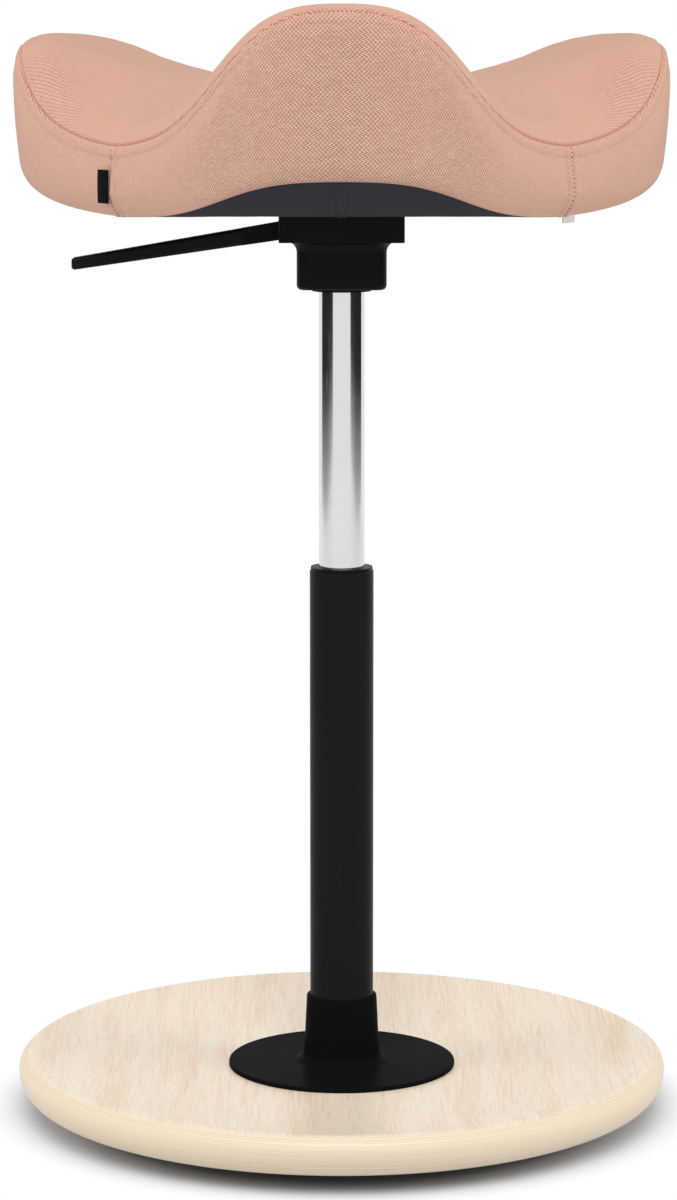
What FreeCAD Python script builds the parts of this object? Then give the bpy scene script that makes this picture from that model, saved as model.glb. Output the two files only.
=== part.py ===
import FreeCAD, Part
import math
import os
from FreeCAD import Vector

# Wobble stool. Millimetres, +Z up. The origin is the middle of the flat spot that the stool
# stands on, under the column. The front, where one of the three seat lobes points, is -Y.

# Rocker base of moulded plywood on a rubber sole
base_radius = 200.0
ply_thickness = 25.3
rim_rise = 11.5
flat_top_radius = 75.0
top_edge_round = 8.5
bottom_edge_round = 15.5
veneer_thickness = 1.2
sole_thickness = 3.7
sole_radius = 165.0
rest_flat_radius = 45.0

# Column flange, a plate and a flared collar in one piece
flange_radius = 70.1
flange_thickness = 2.6
flange_edge_round = 0.9
collar_height = 44.3
collar_top_radius = 21.6
collar_foot_radius = 23.3
collar_fillet = 6.0
collar_top_round = 1.2

# Studs under the flange, with washers and nuts in pockets of the base
stud_circle_radius = 50.0
stud_count = 4
stud_radius = 3.0
stud_length = 23.0
nut_across_flats = 10.0
nut_height = 5.0
stud_washer_radius = 8.0
stud_washer_thickness = 1.6
stud_pocket_radius = 9.0
stud_pocket_roof = 12.0

# Outer tube, its foot and its guide bush
tube_radius = 19.5
tube_wall = 2.0
tube_length = 310.0
tube_edge_round = 0.8
foot_thickness = 5.0
foot_height = 8.0
bush_length = 75.0
bush_lip_height = 2.0
bush_lip_radius = 18.9

# Thrust bearing at the bottom of the tube
race_inner_radius = 6.0
race_outer_radius = 13.0
race_thickness = 1.5
ball_radius = 2.0
ball_count = 9
cage_thickness = 1.6
cage_wall = 1.0

# Gas spring: rod and piston stand still in height, the chromed cylinder slides
rod_radius = 5.0
rod_end_radius = 4.0
rod_tail = 3.0
clip_radius = 8.0
clip_thickness = 1.2
clip_groove_depth = 1.0
rod_washer_thickness = 2.2
buffer_radius = 12.5
buffer_height = 20.0
piston_bottom = 274.0
piston_height = 15.0
piston_nut_across_flats = 10.0
piston_nut_height = 4.0
seal_height = 4.0
seal_depth = 2.5
cylinder_radius = 14.0
cylinder_wall = 1.6
cylinder_in_tube = 113.0
cylinder_shown = 171.6
taper_length = 32.0
taper_drop = 0.6
cylinder_lip = 2.0
cylinder_lip_radius = 10.0
gland_height = 18.0
valve_height = 41.0
pin_radius = 3.0
pin_length = 38.0
pin_proud = 5.0
pin_edge = 0.8

# Mechanism housing under the seat
block_side = 75.0
block_height = 17.0
block_corner_round = 3.0
housing_width = 54.0
housing_depth = 48.0
housing_height = 29.0
housing_corner_round = 8.0
housing_foot_round = 3.0
shoulder_fillet = 6.5
lower_ring_radius = 18.0
lower_ring_height = 1.6
cavity_roof = 2.0
cavity_end = 9.0

# Seat fixing screws and tee nuts
seat_screw_pitch = 63.0
seat_screw_radius = 2.5
seat_screw_head_radius = 4.25
seat_screw_head_height = 3.0
seat_screw_recess = 4.5
tee_flange_radius = 8.0
tee_flange_thickness = 1.2
tee_barrel_radius = 3.6

# Height lever
lever_width = 14.0
lever_pivot_reach = 20.0
lever_pivot_radius = 3.0
lever_boss_radius = 5.4
lever_inner_reach = 24.0
lever_inner_thickness = 5.0
lever_root_height = 10.8
lever_tip_height = 7.2
lever_tip_reach = 162.8
lever_droop = 20.0
lever_grip_reach = 60.0
lever_grip_wall = 1.2
lever_edge_round = 2.0
pivot_pin_back = 20.0
pivot_pin_front = 16.0

# Seat: three lobes, one at the front and two at the rear, with a low waist between each two
seam_radius_mean = 180.7
seam_radius_swing = 32.4
seam_radius_peak = 4.3
waist_seam_height = 41.6
front_lobe_rise = 75.5
rear_lobe_rise = 61.2
lobe_fullness = 0.68
lobe_sharpness = 5.16
lobe_narrowing = 1.72
underside_flat_radius = 62.0
underside_edge_lift = 0.2
underside_lobe_lift = 24.9
waist_bulge = 4.0
flank_bulge = 5.5
lobe_bulge = 5.6
waist_belly_drop = 28.8
lobe_belly_drop = 8.4
shoulder_out_share = 0.47
shoulder_drop_share = 0.33
band_foot_inset = 4.3
flank_inset_share = 0.3
band_foot_height = 4.6
band_foot_width = 9.0
corner_in_share = 0.59
corner_up_share = 0.3
seam_to_round = 8.0
waist_round_rise = 11.8
flank_round_rise = 12.1
lobe_round_rise = 4.3
seam_to_crest = 20.0
waist_crest_rise = 16.5
flank_crest_rise = 23.1
lobe_crest_rise = 4.2
slope_reach_share = 0.55
slope_rise_share = 0.31
underside_bow_share = 0.25
foot_tilt = -70.0
corner_tilt = -45.0
seam_tilt = 20.0
round_tilt = 65.0
centre_height = 73.9
centre_flat_radius = 25.0
plug_radius = 20.0
cover_thickness = 1.2
shell_thickness = 8.0
shell_edge_margin = 9.0
section_step = 10.0

# Labels sewn into the seams, both left blank
tag_width = 13.0
tag_height = 19.5
tag_thickness = 1.0
tag_bottom = 8.0
care_tab_width = 15.0
care_tab_drop = 2.8
care_tab_tuck = 0.6
care_tab_thickness = 0.8

# Clearances
slip = 0.05
running = 0.06
soft_gap = 0.3
foam_gap = 0.6
label_gap = 0.5
care_tab_gap = 0.9
lever_side_gap = 1.0
pin_gap = 0.25
bolt_gap = 0.3

UP = Vector(0, 0, 1)
ORIGIN = Vector(0, 0, 0)


def circle_sag(radius_at, sphere_radius):
    return sphere_radius - math.sqrt(sphere_radius ** 2 - radius_at ** 2)


def arc_radius(half_chord, rise):
    return (half_chord ** 2 + rise ** 2) / (2 * rise)


# Heights that the sizes above give
underside_sphere = arc_radius(base_radius, rim_rise)
wood_bottom = sole_thickness - circle_sag(rest_flat_radius, underside_sphere)
flange_plane = wood_bottom + ply_thickness
tube_top = flange_plane + tube_length
foot_bottom = flange_plane + foot_height
foot_top = foot_bottom + foot_thickness
balls_bottom = foot_top + race_thickness + slip
upper_race_bottom = balls_bottom + 2 * ball_radius + slip
upper_race_top = upper_race_bottom + race_thickness
tube_bore = tube_radius - tube_wall
cylinder_bore = cylinder_radius - cylinder_wall
cylinder_bottom = tube_top - cylinder_in_tube
housing_bottom = tube_top + cylinder_shown
taper_start = housing_bottom - lower_ring_height
cylinder_top = taper_start + taper_length
block_bottom = housing_bottom + housing_height
seat_plane = block_bottom + block_height
piston_base = flange_plane + piston_bottom
piston_top = piston_base + piston_height
pin_top = cylinder_top + pin_proud
pivot_height = pin_top + lever_inner_thickness / 2
cavity_top = seat_plane - cavity_roof


def save(shape, node):
    if shape.ShapeType == "Compound" and len(shape.Solids) == 1:
        shape = shape.Solids[0]
    print(node, len(shape.Solids), "solid(s)", round(shape.Volume / 1000, 2), "cm3", shape.isValid())
    shape.exportStep("parts/" + node + ".step")


def point(radius, height):
    return Vector(radius, 0, height)


def line(start, end):
    return Part.LineSegment(start, end).toShape()


def arc(start, middle, end):
    return Part.Arc(start, middle, end).toShape()


def revolve(edges):
    return Part.Face(Part.Wire(edges)).revolve(ORIGIN, UP, 360)


def turned(corners):
    closed = corners + corners[:1]
    return revolve([line(point(*a), point(*b)) for a, b in zip(closed, closed[1:])])


def disc(radius, bottom, top, x=0.0, y=0.0):
    return Part.makeCylinder(radius, top - bottom, Vector(x, y, bottom))


def ring(inner, outer, bottom, top):
    return disc(outer, bottom, top).cut(disc(inner, bottom, top))


def box(low, high):
    return Part.makeBox(high[0] - low[0], high[1] - low[1], high[2] - low[2], Vector(*low))


def hexagon(across_flats, bottom, top, x=0.0, y=0.0):
    reach = across_flats / math.sqrt(3)
    turns = [math.radians(60 * k) for k in range(7)]
    corners = [Vector(x + reach * math.cos(t), y + reach * math.sin(t), bottom) for t in turns]
    return Part.Face(Part.makePolygon(corners)).extrude(Vector(0, 0, top - bottom))


def round_circles(shape, fillet, wanted):
    edges = [e for e in shape.Edges if wanted(e)]
    return shape.makeFillet(fillet, edges)


def full_circle_at(edge, radius, height):
    if edge.Degenerated or len(edge.Vertexes) != 1:
        return False
    b = edge.BoundBox
    return abs(b.XMax - radius) < 0.01 and abs(b.ZMin - height) < 0.01 and abs(b.ZMax - height) < 0.01


def on_circle(radius, count, start_deg=45.0):
    turns = [math.radians(start_deg + 360.0 * k / count) for k in range(count)]
    return [(radius * math.cos(t), radius * math.sin(t)) for t in turns]


# Rocker base

def underside_height(radius_at):
    return wood_bottom + circle_sag(radius_at, underside_sphere)


def top_rise(radius_at):
    outer = base_radius - flat_top_radius
    sphere = arc_radius(outer, rim_rise)
    return circle_sag(max(radius_at - flat_top_radius, 0.0), sphere)


def top_surface_edges(lift):
    middle_radius = (flat_top_radius + base_radius) / 2
    height = flange_plane + lift
    flat_end = point(flat_top_radius, height)
    middle = point(middle_radius, height + top_rise(middle_radius))
    end = point(base_radius, height + rim_rise)
    return [line(point(0, height), flat_end), arc(flat_end, middle, end)]


def bottom_surface_edge(lift):
    half = base_radius / 2
    return arc(
        point(base_radius, underside_height(base_radius) + lift),
        point(half, underside_height(half) + lift),
        point(0, wood_bottom + lift),
    )


def base_slab():
    upper = top_surface_edges(0.0)
    rim_top = flange_plane + rim_rise
    rim_bottom = underside_height(base_radius)
    edges = upper + [
        line(point(base_radius, rim_top), point(base_radius, rim_bottom)),
        bottom_surface_edge(0.0),
        line(point(0, wood_bottom), point(0, flange_plane)),
    ]
    slab = revolve(edges)
    slab = round_circles(slab, top_edge_round, lambda e: full_circle_at(e, base_radius, rim_top))
    return round_circles(slab, bottom_edge_round, lambda e: full_circle_at(e, base_radius, rim_bottom))


def above_top_veneer():
    low = top_surface_edges(-veneer_thickness)
    rim = flange_plane + rim_rise - veneer_thickness
    lid = rim + ply_thickness
    edges = low + [
        line(point(base_radius, rim), point(base_radius, lid)),
        line(point(base_radius, lid), point(0, lid)),
        line(point(0, lid), point(0, flange_plane - veneer_thickness)),
    ]
    return revolve(edges)


def below_bottom_veneer():
    rim = underside_height(base_radius) + veneer_thickness
    floor = -ply_thickness
    edges = [
        bottom_surface_edge(veneer_thickness),
        line(point(0, wood_bottom + veneer_thickness), point(0, floor)),
        line(point(0, floor), point(base_radius, floor)),
        line(point(base_radius, floor), point(base_radius, rim)),
    ]
    return revolve(edges)


def make_base():
    slab = base_slab()
    for x, y in on_circle(stud_circle_radius, stud_count):
        slab = slab.cut(disc(stud_radius + bolt_gap, 0, flange_plane + 1, x, y))
        slab = slab.cut(disc(stud_pocket_radius, 0, stud_pocket_roof, x, y))
    upper = above_top_veneer()
    lower = below_bottom_veneer()
    save(slab.cut(upper).cut(lower), "base_plywood_core")
    save(slab.common(upper), "base_top_veneer")
    save(slab.common(lower), "base_bottom_veneer")
    save(make_sole(), "base_sole")


def make_sole():
    flat_sag = circle_sag(rest_flat_radius, underside_sphere)
    middle = (rest_flat_radius + sole_radius) / 2
    low_end = circle_sag(sole_radius, underside_sphere) - flat_sag
    low_middle = circle_sag(middle, underside_sphere) - flat_sag
    half = sole_radius / 2
    edges = [
        line(point(0, 0), point(rest_flat_radius, 0)),
        arc(point(rest_flat_radius, 0), point(middle, low_middle), point(sole_radius, low_end)),
        line(point(sole_radius, low_end), point(sole_radius, underside_height(sole_radius))),
        arc(
            point(sole_radius, underside_height(sole_radius)),
            point(half, underside_height(half)),
            point(0, wood_bottom),
        ),
        line(point(0, wood_bottom), point(0, 0)),
    ]
    return revolve(edges)


# Flange and its fixings

def make_flange():
    top = flange_plane + flange_thickness
    collar_top = flange_plane + collar_height
    bore = tube_radius + slip
    fillet_start = collar_foot_radius + collar_fillet
    bend = collar_fillet * (1 - math.sqrt(0.5))
    collar_foot = point(collar_foot_radius, top + collar_fillet)
    edges = [
        line(point(bore, flange_plane), point(flange_radius, flange_plane)),
        line(point(flange_radius, flange_plane), point(flange_radius, top)),
        line(point(flange_radius, top), point(fillet_start, top)),
        arc(
            point(fillet_start, top),
            point(collar_foot_radius + bend, top + bend),
            collar_foot,
        ),
        line(collar_foot, point(collar_top_radius, collar_top)),
        line(point(collar_top_radius, collar_top), point(bore, collar_top)),
        line(point(bore, collar_top), point(bore, flange_plane)),
    ]
    flange = revolve(edges)
    flange = round_circles(flange, flange_edge_round, lambda e: full_circle_at(e, flange_radius, top))
    flange = round_circles(
        flange, collar_top_round, lambda e: full_circle_at(e, collar_top_radius, collar_top)
    )
    save(flange, "column_flange")


def make_flange_fixings():
    studs = []
    washers = []
    nuts = []
    washer_bottom = stud_pocket_roof - stud_washer_thickness
    nut_bottom = washer_bottom - nut_height
    for x, y in on_circle(stud_circle_radius, stud_count):
        studs.append(disc(stud_radius, flange_plane - stud_length, flange_plane, x, y))
        hole = disc(stud_radius + slip, 0, flange_plane, x, y)
        washers.append(disc(stud_washer_radius, washer_bottom, stud_pocket_roof, x, y).cut(hole))
        nuts.append(hexagon(nut_across_flats, nut_bottom, washer_bottom, x, y).cut(hole))
    save(Part.makeCompound(studs), "flange_studs")
    save(Part.makeCompound(washers), "stud_washers")
    save(Part.makeCompound(nuts), "stud_nuts")


# Outer tube and what is fixed in it

def make_tube():
    tube = ring(tube_bore, tube_radius, flange_plane, tube_top)
    tube = round_circles(tube, tube_edge_round, lambda e: full_circle_at(e, tube_radius, tube_top))
    save(tube, "column_tube")
    foot = ring(rod_end_radius + running, tube_bore - slip, foot_bottom, foot_top)
    save(foot, "tube_foot")
    bush = ring(cylinder_radius + running, tube_bore - slip, tube_top - bush_length, tube_top)
    lip = ring(cylinder_radius + running, bush_lip_radius, tube_top, tube_top + bush_lip_height)
    save(bush.fuse(lip).removeSplitter(), "guide_bush")


def make_thrust_bearing():
    lower = ring(race_inner_radius, race_outer_radius, foot_top, foot_top + race_thickness)
    save(lower, "thrust_race_lower")
    upper = ring(rod_end_radius + slip, race_outer_radius, upper_race_bottom, upper_race_top)
    save(upper, "thrust_race_upper")
    pitch = (race_inner_radius + race_outer_radius) / 2
    middle = balls_bottom + ball_radius
    half_cage = cage_thickness / 2
    cage = ring(race_inner_radius, race_outer_radius - cage_wall, middle - half_cage, middle + half_cage)
    balls = []
    for x, y in on_circle(pitch, ball_count):
        balls.append(Part.makeSphere(ball_radius, Vector(x, y, middle)))
        cage = cage.cut(disc(ball_radius + slip, middle - ball_radius, middle + ball_radius, x, y))
    save(Part.makeCompound(balls), "thrust_balls")
    save(cage, "thrust_cage")


# Gas spring

def make_rod():
    clip_top = foot_bottom - rod_washer_thickness
    clip_bottom = clip_top - clip_thickness
    rod_bottom = clip_bottom - rod_tail
    nut_top = piston_top + piston_nut_height
    neck = rod_end_radius - clip_groove_depth
    rod = turned([
        (0, rod_bottom),
        (rod_end_radius, rod_bottom),
        (rod_end_radius, clip_bottom),
        (neck, clip_bottom),
        (neck, clip_top),
        (rod_end_radius, clip_top),
        (rod_end_radius, upper_race_top),
        (rod_radius, upper_race_top),
        (rod_radius, piston_base),
        (rod_end_radius, piston_base),
        (rod_end_radius, nut_top),
        (0, nut_top),
    ])
    save(rod, "piston_rod")
    save(ring(neck + slip, clip_radius, clip_bottom, clip_top), "rod_clip")
    save(ring(rod_end_radius + slip, clip_radius, clip_top, foot_bottom), "rod_washer")
    buffer_ring = ring(rod_radius + slip, buffer_radius, upper_race_top, upper_race_top + buffer_height)
    save(buffer_ring, "rod_buffer")


def make_piston():
    seal_bottom = piston_base + (piston_height - seal_height) / 2
    seal_top = seal_bottom + seal_height
    outer = cylinder_bore - running
    groove = outer - seal_depth
    piston = ring(rod_end_radius + slip, outer, piston_base, piston_top)
    piston = piston.cut(ring(groove, outer + 1, seal_bottom, seal_top))
    save(piston, "piston")
    save(ring(groove + slip, outer, seal_bottom, seal_top), "piston_seal")
    nut = hexagon(piston_nut_across_flats, piston_top, piston_top + piston_nut_height)
    nut = nut.cut(disc(rod_end_radius + slip, piston_top, piston_top + piston_nut_height))
    save(nut, "piston_nut")


def make_cylinder():
    lip_top = cylinder_bottom + cylinder_lip
    tip_radius = cylinder_radius - taper_drop
    cylinder = turned([
        (cylinder_lip_radius, cylinder_bottom),
        (cylinder_radius, cylinder_bottom),
        (cylinder_radius, taper_start),
        (tip_radius, cylinder_top),
        (cylinder_bore, cylinder_top),
        (cylinder_bore, lip_top),
        (cylinder_lip_radius, lip_top),
    ])
    save(cylinder, "pressure_cylinder")
    gland = ring(rod_radius + running, cylinder_bore - slip, lip_top, lip_top + gland_height)
    save(gland, "rod_gland")
    valve = ring(pin_radius + running, cylinder_bore - slip, cylinder_top - valve_height, cylinder_top)
    save(valve, "valve_body")
    pin = disc(pin_radius, pin_top - pin_length, pin_top)
    pin = pin.makeChamfer(pin_edge, [e for e in pin.Edges if full_circle_at(e, pin_radius, pin_top)])
    save(pin, "release_pin")


# Mechanism housing

def vertical_edges(shape):
    found = []
    for edge in shape.Edges:
        ends = [v.Point for v in edge.Vertexes]
        if len(ends) == 2 and abs(ends[0].x - ends[1].x) < 1e-6 and abs(ends[0].y - ends[1].y) < 1e-6:
            found.append(edge)
    return found


def edges_at_height(shape, height):
    box_of = [(e, e.BoundBox) for e in shape.Edges]
    return [e for e, b in box_of if abs(b.ZMin - height) < 1e-4 and abs(b.ZMax - height) < 1e-4]


def make_housing():
    half = block_side / 2
    block = box((-half, -half, block_bottom), (half, half, seat_plane))
    block = block.makeFillet(block_corner_round, vertical_edges(block))
    half_width = housing_width / 2
    half_depth = housing_depth / 2
    lower = box((-half_width, -half_depth, housing_bottom), (half_width, half_depth, block_bottom))
    lower = lower.makeFillet(housing_corner_round, vertical_edges(lower))
    lower = lower.makeFillet(housing_foot_round, edges_at_height(lower, housing_bottom))
    housing = block.fuse(lower).removeSplitter()
    inside = half - block_corner_round
    shoulder = []
    for edge in edges_at_height(housing, block_bottom):
        b = edge.BoundBox
        if max(abs(b.XMin), abs(b.XMax), abs(b.YMin), abs(b.YMax)) < inside:
            shoulder.append(edge)
    housing = housing.makeFillet(shoulder_fillet, shoulder)
    lower_ring = disc(lower_ring_radius, housing_bottom - lower_ring_height, housing_bottom)
    save(lower_ring.cut(taper_bore()), "housing_ring")
    housing = housing.cut(taper_bore())
    half_slot = lever_width / 2 + lever_side_gap
    cavity = box((-half - 1, -half_slot, block_bottom), (cavity_end, half_slot, cavity_top))
    housing = housing.cut(cavity)
    pivot_hole = Part.makeCylinder(
        lever_pivot_radius + slip,
        half + 1 + pivot_pin_front,
        Vector(-lever_pivot_reach, -pivot_pin_front, pivot_height),
        Vector(0, 1, 0),
    )
    housing = housing.cut(pivot_hole)
    for x, y in seat_screw_places():
        housing = housing.cut(disc(seat_screw_radius + bolt_gap, block_bottom, seat_plane, x, y))
        recess_top = block_bottom + seat_screw_recess
        housing = housing.cut(disc(seat_screw_head_radius + bolt_gap, housing_bottom, recess_top, x, y))
    save(housing, "mechanism_housing")


def taper_bore():
    tip_radius = cylinder_radius - taper_drop
    return turned([
        (0, taper_start - 1),
        (cylinder_radius + slip, taper_start - 1),
        (cylinder_radius + slip, taper_start),
        (tip_radius + slip, cylinder_top),
        (tip_radius + slip, block_bottom + 2),
        (0, block_bottom + 2),
    ])


def seat_screw_places():
    half = seat_screw_pitch / 2
    return [(x, y) for x in (-half, half) for y in (-half, half)]


# Lever

def lever_top_at(x):
    slope = lever_droop / (lever_tip_reach - block_side / 2)
    root_middle = block_bottom + lever_root_height / 2 + bolt_gap
    share = (-x - block_side / 2) / (lever_tip_reach - block_side / 2)
    height = lever_root_height + share * (lever_tip_height - lever_root_height)
    middle = root_middle - slope * (-x - block_side / 2)
    return middle + height / 2, middle - height / 2


def lever_blade(start, end, inset):
    start_top, start_low = lever_top_at(start)
    end_top, end_low = lever_top_at(end)
    half = lever_width / 2 - inset
    corners = [
        Vector(start, -half, start_low + inset),
        Vector(start, -half, start_top - inset),
        Vector(end, -half, end_top - inset),
        Vector(end, -half, end_low + inset),
    ]
    face = Part.Face(Part.makePolygon(corners + corners[:1]))
    return face.extrude(Vector(0, 2 * half, 0))


def make_lever():
    tip = -lever_tip_reach
    grip_start = -lever_grip_reach
    root = -lever_pivot_reach - lever_boss_radius / 2
    half = lever_width / 2
    blade = lever_blade(root, tip + lever_grip_wall + soft_gap, lever_grip_wall + soft_gap)
    neck = lever_blade(root, grip_start, 0.0)
    boss = Part.makeCylinder(
        lever_boss_radius,
        lever_width,
        Vector(-lever_pivot_reach, -half, pivot_height),
        Vector(0, 1, 0),
    )
    finger_bottom = pin_top + pin_gap
    finger = box(
        (-lever_pivot_reach, -half, finger_bottom),
        (lever_inner_reach - lever_pivot_reach, half, finger_bottom + lever_inner_thickness),
    )
    hole = Part.makeCylinder(
        lever_pivot_radius + running,
        lever_width + 2,
        Vector(-lever_pivot_reach, -half - 1, pivot_height),
        Vector(0, 1, 0),
    )
    arm = blade.fuse([neck, boss, finger]).removeSplitter().cut(hole)
    save(arm, "lever_arm")
    grip = lever_blade(grip_start, tip, 0.0)
    grip = grip.makeFillet(lever_edge_round, long_edges(grip, tip, grip_start))
    grip = grip.cut(lever_blade(grip_start + 1, tip + lever_grip_wall, lever_grip_wall))
    save(grip, "lever_grip")
    pivot_pin = Part.makeCylinder(
        lever_pivot_radius,
        pivot_pin_back + pivot_pin_front,
        Vector(-lever_pivot_reach, -pivot_pin_front, pivot_height),
        Vector(0, 1, 0),
    )
    save(pivot_pin, "lever_pivot_pin")


def long_edges(shape, tip, start):
    found = []
    for edge in shape.Edges:
        b = edge.BoundBox
        if abs(b.XMin - tip) < 0.01 and (abs(b.XMax - start) < 0.01 or abs(b.XMax - tip) < 0.01):
            found.append(edge)
    return found


# Seat section by azimuth, which is counted from the front

def lobe_share(azimuth):
    # 1 on the ridge of a lobe and 0 in a waist, with a narrow top and a wide foot
    fall = math.sin(math.radians(1.5 * azimuth)) ** 2
    return (1 - fall) ** lobe_fullness / (1 + lobe_sharpness * fall ** lobe_narrowing)


def seam_radius(azimuth):
    turn = math.radians(3 * azimuth)
    return seam_radius_mean + seam_radius_swing * math.cos(turn) + seam_radius_peak * math.cos(2 * turn)


def seam_height(azimuth):
    front = abs((azimuth + 180) % 360 - 180) < 60
    rise = front_lobe_rise if front else rear_lobe_rise
    return seat_plane + waist_seam_height + rise * lobe_share(azimuth)


def mix(waist_value, flank_value, lobe_value, share):
    # A smooth run from the waist's value to the lobe's, pulled towards the flank's on the way
    return waist_value * (1 - share) ** 2 + 2 * flank_value * share * (1 - share) + lobe_value * share ** 2


def drawn_in(radius, height, inset, tilt_deg):
    # A skin point moved inwards, where the skin faces outwards at this tilt above the horizon
    tilt = math.radians(tilt_deg)
    return radius - inset * math.cos(tilt), height - inset * math.sin(tilt)


def seat_points(azimuth, inset):
    # The knots of the half section, from the underside out over the band and in over the top
    share = lobe_share(azimuth)
    seam_r = seam_radius(azimuth)
    seam_z = seam_height(azimuth)
    bulge = mix(waist_bulge, flank_bulge, lobe_bulge, share)
    drop = waist_belly_drop + (lobe_belly_drop - waist_belly_drop) * share
    shoulder_r = seam_r + bulge * shoulder_out_share
    shoulder_z = seam_z - drop * shoulder_drop_share
    belly_r = seam_r + bulge
    belly_z = seam_z - drop
    foot_r = belly_r - band_foot_width
    foot_z = seat_plane + underside_edge_lift + underside_lobe_lift * share
    lift_r = belly_r - band_foot_inset
    lift_z = foot_z + band_foot_height
    flank_r = belly_r - band_foot_inset * flank_inset_share
    corner_r = belly_r - band_foot_width * corner_in_share
    corner_z = foot_z + band_foot_height * corner_up_share
    round_r = seam_r - seam_to_round
    round_z = seam_z + mix(waist_round_rise, flank_round_rise, lobe_round_rise, share)
    crest_r = seam_r - seam_to_crest
    crest_z = seam_z + mix(waist_crest_rise, flank_crest_rise, lobe_crest_rise, share)
    centre_z = seat_plane + centre_height
    slope_r = centre_flat_radius + slope_reach_share * (crest_r - centre_flat_radius)
    slope_z = centre_z + slope_rise_share * (crest_z - centre_z)
    under_r = (underside_flat_radius + foot_r) / 2
    under_z = seat_plane + underside_bow_share * (foot_z - seat_plane)
    return {
        "flat": (underside_flat_radius, seat_plane + inset),
        "under": (under_r, under_z + inset),
        "foot": drawn_in(foot_r, foot_z, inset, foot_tilt),
        "corner": drawn_in(corner_r, corner_z, inset, corner_tilt),
        "lift": (lift_r - inset, lift_z),
        "flank": (flank_r - inset, (lift_z + belly_z) / 2),
        "belly": (belly_r - inset, belly_z),
        "shoulder": drawn_in(shoulder_r, shoulder_z, inset, seam_tilt),
        "seam": drawn_in(seam_r, seam_z, inset, seam_tilt),
        "round": drawn_in(round_r, round_z, inset, round_tilt),
        "crest": (crest_r, crest_z - inset),
        "slope": (slope_r, slope_z - inset),
        "centre": (centre_flat_radius, centre_z - inset),
        "centre_z": centre_z - inset,
    }


def at_azimuth(azimuth, radius, height):
    turn = math.radians(azimuth)
    return Vector(radius * math.sin(turn), -radius * math.cos(turn), height)


def section_wire(azimuth, steps):
    # steps is a chain of knots; a pair of knots is a line and a triple is an arc
    edges = []
    for step in steps:
        ends = [at_azimuth(azimuth, r, z) for r, z in step]
        edges.append(line(*ends) if len(ends) == 2 else arc(*ends))
    return Part.Wire(edges)


def lobe_loft(centre_azimuth, steps_at, trim_deg=0.0):
    # One lobe from waist to waist, through a section every few degrees
    count = round(120 / section_step)
    span = 120 - 2 * trim_deg
    wires = []
    for k in range(count + 1):
        azimuth = centre_azimuth - 60 + trim_deg + span * k / count
        wires.append(section_wire(azimuth, steps_at(azimuth)))
    return Part.makeLoft(wires, True, False)


def three_lobes(steps_at, bottom, top):
    # Three lofts joined at the waists, with the middle filled by a plain disc
    hole = disc(plug_radius, bottom - 5, top + 5)
    lobes = [lobe_loft(a, steps_at).cut(hole) for a in (0, 120, 240)]
    return lobes[0].fuse([lobes[1], lobes[2], disc(plug_radius, bottom, top)])


def underside_steps(azimuth):
    low = seat_points(azimuth, 0.0)
    inner = centre_flat_radius / 2
    rise = cover_thickness
    flat = low["flat"]
    foot = low["foot"]
    under = low["under"]
    return [
        ((inner, seat_plane), flat),
        (flat, under, foot),
        (foot, (foot[0], foot[1] + rise)),
        ((foot[0], foot[1] + rise), (under[0], under[1] + rise), (flat[0], flat[1] + rise)),
        ((flat[0], flat[1] + rise), (inner, seat_plane + rise)),
        ((inner, seat_plane + rise), (inner, seat_plane)),
    ]


def shell_low():
    return cover_thickness + soft_gap


def shell_steps(azimuth):
    skin = seat_points(azimuth, 0.0)
    inner = centre_flat_radius / 2
    low = shell_low()
    high = low + shell_thickness
    flat = skin["flat"]
    under = skin["under"]
    foot = skin["foot"]
    edge_r = foot[0] - shell_edge_margin
    edge_z = foot[1] - shell_edge_margin * (foot[1] - under[1]) / (foot[0] - under[0])
    return [
        ((inner, seat_plane + low), (flat[0], flat[1] + low)),
        ((flat[0], flat[1] + low), (under[0], under[1] + low), (edge_r, edge_z + low)),
        ((edge_r, edge_z + low), (edge_r, edge_z + high)),
        ((edge_r, edge_z + high), (under[0], under[1] + high), (flat[0], flat[1] + high)),
        ((flat[0], flat[1] + high), (inner, seat_plane + high)),
        ((inner, seat_plane + high), (inner, seat_plane + low)),
    ]


def foam_steps(azimuth):
    skin = seat_points(azimuth, 0.0)
    form = seat_points(azimuth, cover_thickness + foam_gap)
    inner = centre_flat_radius / 2
    rise = shell_low() + shell_thickness + soft_gap
    flat = skin["flat"]
    under = skin["under"]
    foot = form["foot"]
    edge_r = skin["foot"][0] - shell_edge_margin + soft_gap
    slope = (skin["foot"][1] - under[1]) / (skin["foot"][0] - under[0])
    edge_z = skin["foot"][1] - (shell_edge_margin - soft_gap) * slope
    roof = (edge_r, edge_z + rise)
    step = (edge_r, edge_z + shell_low())
    return [
        ((inner, seat_plane + rise), (flat[0], flat[1] + rise)),
        ((flat[0], flat[1] + rise), (under[0], under[1] + rise), roof),
        (roof, step),
        (step, foot),
        (foot, form["corner"], form["lift"]),
        (form["lift"], form["flank"], form["belly"]),
        (form["belly"], form["shoulder"], form["seam"]),
        (form["seam"], form["round"], form["crest"]),
        (form["crest"], form["slope"], form["centre"]),
        (form["centre"], (inner, form["centre_z"])),
        ((inner, form["centre_z"]), (inner, seat_plane + rise)),
    ]


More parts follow.
